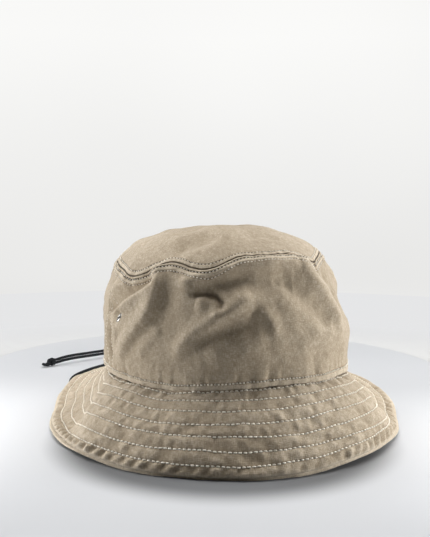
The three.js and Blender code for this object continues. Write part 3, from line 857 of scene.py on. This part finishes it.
def cord_material():
    n = Nodes("black_cord")
    one = n.waves((900, 520, 0), "DIAGONAL")
    other = n.waves((-900, 520, 0), "DIAGONAL")
    braid = n.math("MAXIMUM", one, other)
    fibres = n.noise((3000, 700, 1), detail=2.0)
    colour = n.mix(n.math("MULTIPLY", braid, n.math("MULTIPLY_ADD", fibres, 0.7, 0.3)),
                   (0.005, 0.006, 0.007), (0.018, 0.021, 0.024))
    bump = n.bump(braid, 0.6, 0.00025)
    bump = n.bump(fibres, 0.3, 0.0001, bump)
    return n.finish(colour, n.math("MULTIPLY_ADD", fibres, 0.2, 0.66), bump, Specular_IOR_Level=0.2)


def plastic_material():
    n = Nodes("black_plastic")
    grain = n.noise((2400, 2400, 2400), "Object", detail=3.0)
    scuffs = n.noise((240, 240, 240), "Object", detail=5.0, rough=0.7)
    colour = n.mix(scuffs, (0.012, 0.013, 0.014), (0.032, 0.033, 0.035))
    rough = n.math("MULTIPLY_ADD", scuffs, 0.22, 0.36)
    return n.finish(colour, rough, n.bump(grain, 0.22, 0.0002), Specular_IOR_Level=0.5)


thread = thread_material()
metal = metal_material()
cord_look = cord_material()
plastic = plastic_material()


def place(obj, *nodes, slot="khaki_cotton", body="hat"):
    """Says which body a piece rides on and which nodes it stands for. slot, what it is made of, is not used."""
    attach(obj, body)
    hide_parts(*nodes)
    return obj


# ---- the chin cord

CORD = 2.8
LOW = CORD / 2 + 0.1
STRAND = 1.55
TAIL_Z = 6.3
TAIL_START = (-9.0, 271.5)
TAIL_TURN = math.radians(22.7)
TAIL_ALONG = np.array([math.cos(TAIL_TURN), math.sin(TAIL_TURN), 0])
TAIL_ACROSS = np.array([-math.sin(TAIL_TURN), math.cos(TAIL_TURN), 0])
TAIL_LENGTH = 94.0
KNOT_HALF_LENGTH = 5.2
KNOT_Z = 4.5
KNOT_CORD = CORD / 2 - 0.05   # the knot pulls its strands thinner
GAP = 0.3
TAB_LOW = 41.0


def tail_point(along, z):
    """A point this far along the doubled tail from the lock, away from the knot."""
    return (TAIL_START[0] + along * math.cos(TAIL_TURN), TAIL_START[1] + along * math.sin(TAIL_TURN), z)


def tail_points(side):
    z = TAIL_Z + side * STRAND
    return [
        tail_point(KNOT_HALF_LENGTH + GAP - TAIL_LENGTH, KNOT_Z + side * STRAND),
        tail_point(-80, z - 0.6),
        *(tail_point(along, z) for along in (-70, -50, -30, -10, 8, 14)),
    ]


LEFT_ROUTE = tail_points(-1) + [
    (16, 281, 3.4), (27, 280, 2), (33, 272, LOW), (31, 262, LOW), (17, 251, LOW), (-4, 241, LOW),
    (-26, 229.5, LOW), (-47.5, 215.5, LOW), (-66, 199, LOW), (-83, 177, LOW), (-91.5, 151, LOW),
    (-92.5, 122, LOW), (-90, 92, LOW), (-87, 64, LOW), (-84, 38, LOW), (-82.5, 20, 2.6), (-82.2, 8, 8),
    (-82.2, 2, 19), (-82.2, 0, 30), (-82.2, 0, TAB_LOW - GAP),
]
RIGHT_ROUTE = tail_points(1) + [
    (20, 284, 6), (38, 285, 2.4), (58, 278, LOW), (74, 263, LOW), (84, 241, LOW), (89, 213, LOW),
    (92, 181, LOW), (93, 149, LOW), (92, 118, LOW), (90, 91, LOW), (87, 64, LOW), (84, 38, LOW),
    (82.5, 20, 2.6), (82.2, 8, 8), (82.2, 2, 19), (82.2, 0, 30), (82.2, 0, TAB_LOW - GAP),
]


def even_path(route, step):
    """A smooth line through the route's points, at even steps."""
    p = np.asarray(route, float)
    p = np.vstack([2 * p[0] - p[1], p, 2 * p[-1] - p[-2]])
    line = []
    for i in range(1, len(p) - 2):
        q = p[i - 1:i + 3]
        gaps = np.linalg.norm(np.diff(q, axis=0), axis=1) ** 0.5
        t0, t1, t2, t3 = np.concatenate([[0], np.cumsum(gaps)])
        for t in np.linspace(t1, t2, 24, endpoint=False):
            a1 = (t1 - t) / (t1 - t0) * q[0] + (t - t0) / (t1 - t0) * q[1]
            a2 = (t2 - t) / (t2 - t1) * q[1] + (t - t1) / (t2 - t1) * q[2]
            a3 = (t3 - t) / (t3 - t2) * q[2] + (t - t2) / (t3 - t2) * q[3]
            b1 = (t2 - t) / (t2 - t0) * a1 + (t - t0) / (t2 - t0) * a2
            b2 = (t3 - t) / (t3 - t1) * a2 + (t - t1) / (t3 - t1) * a3
            line.append((t2 - t) / (t2 - t1) * b1 + (t - t1) / (t2 - t1) * b2)
    line = np.array(line + [p[-2]])
    run = run_along(line)
    count = max(int(round(run[-1] / step)), 2)
    at = np.linspace(0, run[-1], count + 1)
    return np.stack([np.interp(at, run, line[:, k]) for k in range(3)], 1), run[-1]


def tube(name, path, radius, look, sides=14, closed=False):
    """A round tube along a path, with its own frame carried along so that it doesn't twist."""
    n = len(path)
    ahead = np.roll(path, -1, 0) if closed else np.vstack([path[1:], 2 * path[-1] - path[-2]])
    behind = np.roll(path, 1, 0) if closed else np.vstack([2 * path[0] - path[1], path[:-1]])
    along = unit(ahead - behind)
    side = np.cross(along[0], (0.1, 0.2, 1.0))
    points, uv = [], []
    run = run_along(path)
    for k in range(n):
        side = side - along[k] * np.dot(side, along[k])
        side = side / np.linalg.norm(side)
        up = np.cross(along[k], side)
        r = radius[k] if hasattr(radius, "__len__") else radius
        for j in range(sides):
            turn = 2 * math.pi * j / sides
            points.append(path[k] + r * (math.cos(turn) * side + math.sin(turn) * up))
            uv.append((j / sides * 7.0, run[k]))
    faces = grid_faces(n, sides, True, wrap=closed).tolist()
    if not closed:
        faces += [list(range(sides))[::-1], [(n - 1) * sides + j for j in range(sides)]]
    return mesh_object(name, np.array(points), faces, look, np.array(uv))


def local_tail(points):
    """Points in the tail's own frame (along, across, height) put in place at the knot."""
    centre = np.array(tail_point(-TAIL_LENGTH, 0))
    up = np.array([0, 0, 1])
    return np.array([centre + p[0] * TAIL_ALONG + p[1] * TAIL_ACROSS + p[2] * up for p in points])


def joined(name, parts):
    """One object from several, in the order given."""
    bm = bmesh.new()
    for part in parts:
        bm.from_mesh(part.data)
        scene.collection.objects.unlink(part)
    mesh = bpy.data.meshes.new(name)
    bm.to_mesh(mesh)
    bm.free()
    mesh.materials.append(parts[0].data.materials[0])
    return link(bpy.data.objects.new(name, mesh))


def add_knot():
    """Two crossing trefoils, the bight that sticks out of them, and the two strands going in."""
    t = np.linspace(0, 2 * math.pi, 64, endpoint=False)
    parts = []
    for size, turn, lift in ((1.22, 0.0, 0.0), (1.0, 0.55, 0.25)):
        x = size * (np.sin(t) + 2 * np.sin(2 * t))
        y = size * 0.92 * (np.cos(t) - 2 * np.cos(2 * t))
        z = KNOT_Z + lift - 1.9 * size * np.sin(3 * t)
        x, y = x * math.cos(turn) - y * math.sin(turn), x * math.sin(turn) + y * math.cos(turn)
        parts.append(tube("strand", local_tail(np.stack([x, y, z], 1)), KNOT_CORD, cord_look, 12, True))
    turn = np.linspace(math.radians(62), math.radians(298), 22)
    loop = [(-KNOT_HALF_LENGTH - 2.0 + 2.5 * math.cos(a), 2.3 * math.sin(a), 3.4 - 1.7 * abs(math.cos(a / 2)))
            for a in turn]
    loop = [(-2.6, 1.2, 3.6), (-4.4, 1.9, 2.7)] + loop + [(-4.4, -1.9, 2.7), (-2.6, -1.2, 3.6)]
    parts.append(tube("bight", local_tail(loop), KNOT_CORD, cord_look, 12))
    for side in (-1, 1):
        entry = [(1.2, 0, KNOT_Z + side * 0.9), (3.2, 0, KNOT_Z + side * 1.35),
                 (KNOT_HALF_LENGTH + GAP + 0.1, 0, KNOT_Z + side * STRAND)]
        parts.append(tube("entry", local_tail(entry), KNOT_CORD, cord_look, 12))
    return place(joined("chin_cord_knot_tied", parts), "chin_cord_knot", slot="black_cord")


knot = add_knot()
lock_nodes = [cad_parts[n] for n in ("lock_barrel", "lock_plunger")]
for node in lock_nodes:
    node.data.materials.clear()
    node.data.materials.append(plastic)

SPRING_RADIUS = 3.0
SPRING_WIRE = 0.6
SPRING_LOW = -10.3       # along the barrel, from the lock's middle
SPRING_HIGH = -4.3
SPRING_TURNS = 4


def add_spring():
    """The lock's spring, which in the real lock shortens as the button goes in; here a fixed coil that rides on
    the cord lock.
    """
    centre = np.array(tail_point(0, TAIL_Z))
    t = np.linspace(0, 1, 24 * SPRING_TURNS + 1)[:, None]
    turn = 2 * math.pi * SPRING_TURNS * t
    rise = SPRING_LOW + SPRING_WIRE / 2 + (SPRING_HIGH - SPRING_LOW - SPRING_WIRE) * t
    ring = np.cos(turn) * TAIL_ALONG + np.sin(turn) * np.array([0, 0, 1])
    path = centre + SPRING_RADIUS * ring + rise * TAIL_ACROSS
    spring = tube("lock_spring_coil", path, SPRING_WIRE / 2, metal, 10)
    place(spring, "lock_spring", slot="spring_steel", body="cord_lock")
    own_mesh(spring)
    return spring


lock_pieces = lock_nodes + [add_spring()]


def add_cord(name, node, route):
    path, length = even_path(route, 1.1)
    strand = tube(name, path, CORD / 2, cord_look)
    place(strand, node, slot="black_cord")


add_cord("chin_cord_left_strand", "chin_cord_left", LEFT_ROUTE)
add_cord("chin_cord_right_strand", "chin_cord_right", RIGHT_ROUTE)

# ---- the crown


def crown_patch(name, angles, runs, look, depth=0.0, thick=CLOTH, bulge=(0.3, 0.3), closed=False,
                planar=False, holes=()):
    """A ply of the crown between rows of runs, each a function of the angle."""
    run = runs(angles[None, :])
    angle = np.broadcast_to(angles[None, :], run.shape)
    outer = crown(angle, run, depth)
    inner = crown(angle, run, depth + thick)
    _, wear_and_shade = crown_relief(angle, run)
    uv = outer[..., :2] if planar else np.stack([angle * MM_PER_DEGREE, run], -1)
    return shell(name, outer, inner, look, closed, uv, wear_and_shade, bulge, holes), outer


def in_stages(*stages):
    """Rows of runs over several stages, each (low, high, rows), so that seams get finer rows."""

    def runs(angle):
        made = []
        for k, (low, high, rows) in enumerate(stages):
            t = np.linspace(0, 1, rows, endpoint=k == len(stages) - 1)[:, None]
            made.append(low(angle) * (1 - t) + high(angle) * t)
        return np.concatenate(made, 0)

    return runs


COLUMNS = 390
FINER = 1.0

front = np.linspace(-90, 90, COLUMNS)
rear = np.linspace(90, 270, COLUMNS)
SEAM_GAP = 0.08


def level(height):
    """The run at one height all round."""
    return lambda a: 0 * a + run_at_height(height)


def past(line, off):
    """The run this far above a line round the crown."""
    return lambda a: line(a) + off


side_rows = in_stages(
    (lip_run, past(lip_run, 8), int(20 * FINER)),
    (past(lip_run, 8), past(seam_run, -9), int(66 * FINER)),
    (past(seam_run, -9), past(seam_run, -SEAM_GAP), int(26 * FINER)),
)
holes = [(crown(np.array([a]), np.array([run_at_height(z)]))[0], EYELET_HOLE) for _, a, z, _ in EYELETS]
for end, angles in (("front", front), ("rear", rear)):
    panel, outer = crown_patch(f"{end}_side_cloth", angles, side_rows, khaki, thick=1.1, bulge=(0.6, 0.05),
                               holes=holes)
    place(panel, f"{end}_side_panel")

whole = np.linspace(0, 360, int(COLUMNS * 1.8), endpoint=False) - 200
top_rows = in_stages(
    (past(seam_run, SEAM_GAP), past(seam_run, 7), int(18 * FINER)),
    (past(seam_run, 7), lambda a: 0 * a + WHOLE_RUN - 0.02, int(46 * FINER)),
)
top, outer = crown_patch("top_cloth", whole, top_rows, khaki, bulge=(0.05, 0.0), closed=True, planar=True)
place(top, "top_panel")


def lathe(name, outline, look, segments=40):
    """A turned piece about its own Z axis, from a closed outline of (radius, height)."""
    points, faces = [], []
    n = len(outline)
    for k in range(segments):
        turn = 2 * math.pi * k / segments
        points += [(r * math.cos(turn), r * math.sin(turn), z) for r, z in outline]
    for k in range(segments):
        m = (k + 1) % segments
        for i in range(n):
            j = (i + 1) % n
            faces.append([k * n + i, m * n + i, m * n + j, k * n + j])
    return mesh_object(name, np.array(points), faces, look)


def stand(obj, here, normal):
    spin = Vector((0, 0, 1)).rotation_difference(Vector(normal)).to_matrix().to_4x4()
    obj.data.transform(Matrix.Translation(Vector(here / 1000)) @ spin)


RING_RADIUS = 2.5
RING_ROUND = 1.0


def add_eyelets():
    """Each eyelet's rolled ring and barrel outside, and its washer inside."""
    turns = [math.pi * (k / 14) for k in range(15)]
    outline = [(RING_RADIUS + RING_ROUND * math.cos(a), 0.12 + 0.55 * math.sin(a)) for a in turns]
    outline += [(1.5, -2.4), (1.8, -2.4), (1.85, -0.1), (3.5, -0.05)]
    back = [(2.2, -2.3), (4.2, -2.2), (4.4, -2.45), (4.0, -2.8), (2.7, -3.0), (1.9, -2.8)]
    for name, angle, height, _ in EYELETS:
        at = np.array([angle]), np.array([run_at_height(height)])
        here = crown(*at)[0]
        normal = outward(crown, *at, 1.5)[0]
        for piece, section, node in (("ring", outline, "eyelet"), ("back", back, "eyelet_washer")):
            turned = lathe(f"{name}_eyelet_{piece}", section, metal)
            stand(turned, here, normal)
            place(turned, f"{name}_{node}", slot="eyelet_metal")


add_eyelets()

# ---- inside the crown

HALF_COLUMNS = 240
inside_whole = np.linspace(0, 360, HALF_COLUMNS * 2, endpoint=False)


def add_lining(node, slot, angles, low, high, rows, look, depth, thick, bulge=(0.3, 0.3), closed=False):
    runs = in_stages((low, high, rows))
    ply, _ = crown_patch(f"{node}_cloth", angles, runs, look, depth, thick, bulge, closed)
    place(ply, node, slot=slot)


add_lining("sweatband", "sweatband_cotton", inside_whole, past(lip_run, 1.5), level(74.0), 24, lining_cloth,
           2.4, 1.2, (0.5, 0.5), closed=True)
add_lining("top_seam_tape", "seam_tape", inside_whole, past(seam_run, -7.0), past(seam_run, -0.8), 10,
           tape_cloth, 1.5, 0.7, closed=True)
for name, middle in (("left", -90.0), ("right", 90.0)):
    add_lining(f"{name}_side_seam_tape", "seam_tape", middle + np.linspace(-3.0, 3.0, 14), level(75.0),
               past(seam_run, -8.0), 48, tape_cloth, 1.5, 0.7)
add_lining("blank_label", "label_cloth", 180 + np.linspace(-7.2, 7.2, 30), level(75.5), level(95.0), 30,
           label_cloth, 1.6, 0.5, (0.2, 0.2))


TAB_INNER = 84.2
TAB_OUTER = 85.5
TAB_HEIGHTS = (41.2, 56)
TAB_HALF_WIDTH = 4.6


def add_tab(name, node, side):
    """A folded strip of tape that holds the end of the chin cord."""
    rows, cols = 26, 14
    v = np.linspace(*TAB_HEIGHTS, rows)[:, None] * np.ones((1, cols))
    u = np.linspace(-TAB_HALF_WIDTH, TAB_HALF_WIDTH, cols)[None, :] * np.ones((rows, 1)) * side
    dent = 0.35 * bell(u, 1.6) * smooth(50, 42, v) + 0.1 * MIDDLE(u / 2.2, v / 2.2, 0.3)
    outer = np.stack([side * (TAB_OUTER + 0 * u), u, v], -1)
    inner = np.stack([side * (TAB_INNER + 0 * u) - side * dent, u, v], -1)
    uv = np.stack([u, v], -1)
    tab = shell(name, outer, inner, tape_cloth, False, uv, np.zeros((rows, cols)), (0.4, 0.4))
    place(tab, node, slot="seam_tape")


add_tab("left_cord_tab_strip", "left_cord_tab", -1)
add_tab("right_cord_tab_strip", "right_cord_tab", 1)

# ---- the brim

BRIM_ROWS = 116
TABLE_GAP = 0.15         # the brim comes no nearer to what it stands on


def brim_patch(name, angles, shares, look, depth, thick, bulge, closed=False):
    """A ply of the brim between its angles and over its shares of the width."""
    angle, share = np.meshgrid(angles[::-1], shares)
    outer = brim(angle, share, depth)
    inner = brim(angle, share, depth + thick)
    for side in (outer, inner):
        side[..., 2] = np.maximum(side[..., 2], TABLE_GAP)
    _, wear_and_shade = brim_relief(angle, share)
    uv = np.stack([angle * 1.95, share * BRIM_WIDTH], -1)
    return shell(name, outer, inner, look, closed, uv, wear_and_shade, bulge), outer


for end, angles in (("front", front), ("rear", rear)):
    for ply_name, reach, look, depth, thick, bulge, slot in (
        ("upper_brim", 0.99, khaki, 0.0, BRIM_PLY, (0.2, 0.75), "khaki_cotton"),
        ("under_brim", 1.028, under_cloth, UNDER_DEPTH, UNDER_PLY, (0.2, 0.7), "under_brim_cotton"),
    ):
        shares = np.linspace(0, reach, BRIM_ROWS)
        ply, outer = brim_patch(f"{ply_name}_{end}_cloth", angles, shares, look, depth, thick, bulge)
        place(ply, f"{ply_name}_{end}", slot=slot)
middle, _ = brim_patch("brim_interlining_felt", inside_whole, np.linspace(0.02, 0.955, 40), felt,
                       BRIM_PLY + 0.12, 0.4, (0.1, 0.1), closed=True)
place(middle, "brim_interlining", slot="interlining")

# ---- stitching


def add_thread(name, rows):
    """Stitches from rows of (centres, directions, normals, lengths, thicknesses)."""
    centres, along, normal, length, thick = (np.concatenate([row[k] for row in rows]) for k in range(5))
    piece = stitches(name, centres, along, normal, length, thick)
    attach(piece, "hat")


def stitch_row(shape, path, step, facing, gap, thick):
    """A row round the whole hat on the surface shape. path(angle) is the row's other coordinate
    there, gap the share of each step with no thread, and facing 1 or -1, for the side that faces out."""
    fine = np.linspace(-200.0, 160.0, 4000)
    run = run_along(shape(fine, path(fine)))
    count = max(int(run[-1] / step), 1)
    edges = np.linspace(0, run[-1], count + 1)
    middles = (edges[:-1] + edges[1:]) / 2 + RNG.normal(0, 0.05, count)

    def at(where, small=0.0):
        angle = np.interp(where, run, fine)
        return shape(angle, path(angle) + small)

    angle = np.interp(middles, run, fine)
    small = 0.012 if shape is brim else 0.7
    da = shape(angle + 0.5, path(angle + 0.5)) - shape(angle - 0.5, path(angle - 0.5))
    ds = at(middles, small) - at(middles, -small)
    along = unit(at(middles + 0.6) - at(middles - 0.6))
    length = np.full(count, run[-1] / count * (1 - gap))
    return at(middles), along, unit(facing * np.cross(da, ds)), length, np.full(count, thick)


def side_seam_row(seam, off):
    """Stitches up a side seam."""
    runs = np.arange(lip_run(np.array([seam]))[0] + 6.5, seam_run(np.array([seam]))[0] - 6.5, 2.6)
    angle = np.full(len(runs), seam + off / MM_PER_DEGREE)
    along = unit(crown(angle, runs + 0.8) - crown(angle, runs - 0.8))
    normal = outward(crown, angle, runs, 0.6)
    return crown(angle, runs), along, normal, np.full(len(runs), 1.9), np.full(len(runs), 0.45)


add_thread("crown_stitching", [
    stitch_row(crown, past(lip_run, LIP_ROW), 2.3, 1, 0.34, 1.05),
    *(stitch_row(crown, past(seam_run, off), 2.4, 1, 0.42, 0.62) for off in SEAM_ROWS),
])
add_thread("side_seam_stitching", [
    side_seam_row(seam, sign * off) for seam, sign in ((-90.0, 1), (90.0, -1)) for off in SIDE_ROWS
])
add_thread("brim_stitching", [
    stitch_row(brim, (lambda a, k=k: row_share(k, a)), 3.1, -1, 0.17, 1.0) for k in range(len(ROW_SHARES))
])

# ---- stage and light

NEAR_GLOW = 0.03
TENT_LOW = 0.80
TENT_HIGH = 0.94
HORIZON = (0.30, 0.52)   # the floor turns into the tent's glow between these distances
# a painted contact shadow on the floor round the front of the brim: its centre (across, back), the distances over
# which it fades out, and its darkest share
CONTACT_CENTRE = (0.0, -0.045)
CONTACT_REACH = (0.100, 0.129)
CONTACT_SHADE = 0.22
# painted pools of light glowing on the floor either side of the hat: across, back, radius, strength
PAINTED_LIGHT_POOLS = [(-0.27, -0.05, 0.23, 0.50), (0.27, -0.08, 0.23, 0.52)]


def floor_material(name, colour, roughness, gloss):
    """Pale paper with a painted contact shadow round the front of the hat and painted pools of light beside it,
    that fades into the tent's glow far from it.
    """
    n = Nodes(name)
    source = n.tree.nodes.new("ShaderNodeTexCoord")
    far = n.tree.nodes.new("ShaderNodeVectorMath")
    far.operation = "LENGTH"
    n.join(source.outputs["Object"], far.inputs[0])
    patches = n.noise((3, 3, 3), "Object", detail=2.0)
    shade = n.mix(patches, colour, tuple(min(c * 1.03, 1) for c in colour))
    away = n.ramp(far.outputs["Value"], *HORIZON, 0.0, 1.0)
    shade = n.mix(away, shade, (0.0, 0.0, 0.0))
    # painted contact shadow: colour and glow darken near the front of the hat
    near = n.ramp(n.distance(source, CONTACT_CENTRE), *CONTACT_REACH, CONTACT_SHADE, 1.0)
    shade = n.mix(near, (0.05, 0.052, 0.055), shade)
    glow = n.math("MULTIPLY_ADD", away, TENT_LOW - NEAR_GLOW, NEAR_GLOW)
    # painted pools of light added to the floor's glow
    for across, back, radius, strength in PAINTED_LIGHT_POOLS:
        glow = n.math("ADD", glow, n.ramp(n.distance(source, (across, back)), 0.0, radius, strength, 0.0))
    glow = n.math("MULTIPLY", glow, near)
    n.put(n.shader.inputs["Emission Strength"], glow)
    n.shader.inputs["Emission Color"].default_value = (0.985, 0.99, 1.0, 1)
    return n.finish(shade, roughness, Specular_IOR_Level=gloss)


def tent_material(low, high):
    """A white tent with a soft glow that grows with height."""
    n = Nodes("tent")
    source = n.tree.nodes.new("ShaderNodeTexCoord")
    parts = n.tree.nodes.new("ShaderNodeSeparateXYZ")
    n.join(source.outputs["Object"], parts.inputs[0])
    height = n.math("MINIMUM", n.math("MULTIPLY", parts.outputs[2], 1 / 0.6), 1.0)
    cloud = n.noise((1.3, 1.3, 1.3), "Object", detail=1.0)
    strength = n.math("MULTIPLY_ADD", height, high - low, low)
    strength = n.math("MULTIPLY_ADD", n.math("SUBTRACT", cloud, 0.5), 0.10, strength)
    n.put(n.shader.inputs["Emission Strength"], strength)
    n.shader.inputs["Emission Color"].default_value = (1.0, 0.998, 0.985, 1)
    return n.finish((0.02, 0.02, 0.02), 1.0, Specular_IOR_Level=0.0)


TENT_RADIUS = 1.5
TENT_CURVE = 0.55        # of its foot
TABLE_RADIUS = 0.235
TABLE_CENTRE = (-0.012, 0.173)   # across the view and back from the hat
TABLE_FRONT = -0.75


def add_stage():
    """The floor, the round table that the hat stands on and the white tent behind them."""
    wall = [(0.9, -0.0015)]
    for a in np.linspace(0.12, math.pi / 2, 16):
        radius = TENT_RADIUS - TENT_CURVE + TENT_CURVE * math.sin(a)
        wall.append((radius, TENT_CURVE - TENT_CURVE * math.cos(a)))
    wall += [(TENT_RADIUS, 1.2), (TENT_RADIUS, 2.0), (TENT_RADIUS - 0.5, 2.6)]
    points = []
    sides = 96
    for r, z in wall:
        for k in range(sides):
            a = 2 * math.pi * k / sides
            points.append((1000 * r * math.cos(a), 1000 * r * math.sin(a), 1000 * z))
    tent = mesh_object("tent_wall", np.array(points), grid_faces(len(wall), sides, True).tolist(),
                       tent_material(TENT_LOW, TENT_HIGH))
    # the tent is only a backdrop: the lights alone light the hat
    tent.visible_diffuse = tent.visible_glossy = tent.visible_shadow = False
    floor = lathe("floor", [(0.001, -1.5), (1000.0, -1.5), (1000.0, -6), (0.001, -6)][::-1],
                  floor_material("floor", (0.60, 0.605, 0.605), 0.95, 0.0), 96)
    # the table's top: rounded behind the hat, straight-sided in front of it
    middle, back = TABLE_CENTRE
    turns = np.linspace(0, math.pi, 73)
    edge = [(middle + TABLE_RADIUS * math.cos(a), back + TABLE_RADIUS * math.sin(a)) for a in turns]
    edge = [(middle + TABLE_RADIUS, TABLE_FRONT)] + edge + [(middle - TABLE_RADIUS, TABLE_FRONT)]
    flat = [ASIDE * across + AHEAD * behind for across, behind in edge]
    points = [(1000 * p[0], 1000 * p[1], z) for z in (-0.1, -1.4) for p in flat]
    n = len(flat)
    faces = [list(range(n)), list(range(n, 2 * n))[::-1]]
    faces += [[k, n + k, n + (k + 1) % n, (k + 1) % n] for k in range(n)]
    paper = floor_material("table", (0.57, 0.585, 0.61), 0.5, 0.12)
    table = mesh_object("table", np.array(points), faces, paper, smooth_faces=False)


add_stage()


def area_light(name, across, back, z, size, power, colour=(1, 1, 1)):
    """A soft box that points at the hat."""
    data = bpy.data.lights.new(name, "AREA")
    data.shape = "RECTANGLE"
    data.size, data.size_y = size
    data.energy = power
    data.color = colour
    light = link(bpy.data.objects.new(name, data))
    light.location = (*(ASIDE * across + AHEAD * back), z)
    light.rotation_euler = (Vector((0, 0, 0.07)) - light.location).to_track_quat("-Z", "Y").to_euler()
    light.visible_camera = False


area_light("top_light", 0.0, 0.14, 0.95, (1.2, 0.42), 11.8, (1.0, 0.99, 0.975))
area_light("front_top_light", 0.0, -0.30, 1.0, (0.8, 0.2), 0.6)
area_light("back_light", 0.0, 1.05, 0.60, (1.3, 0.7), 1.0)
area_light("left_light", -0.80, 0.02, 0.12, (0.34, 0.18), 5.0)
area_light("right_light", 0.80, -0.03, 0.12, (0.34, 0.20), 6.0, (1.0, 0.995, 0.98))

world = bpy.data.worlds.new("world")
scene.world = world
world.use_nodes = True
background = world.node_tree.nodes["Background"]
background.inputs["Color"].default_value = (0.98, 0.99, 1.0, 1)
background.inputs["Strength"].default_value = 0.008
scene.view_settings.view_transform = "Standard"
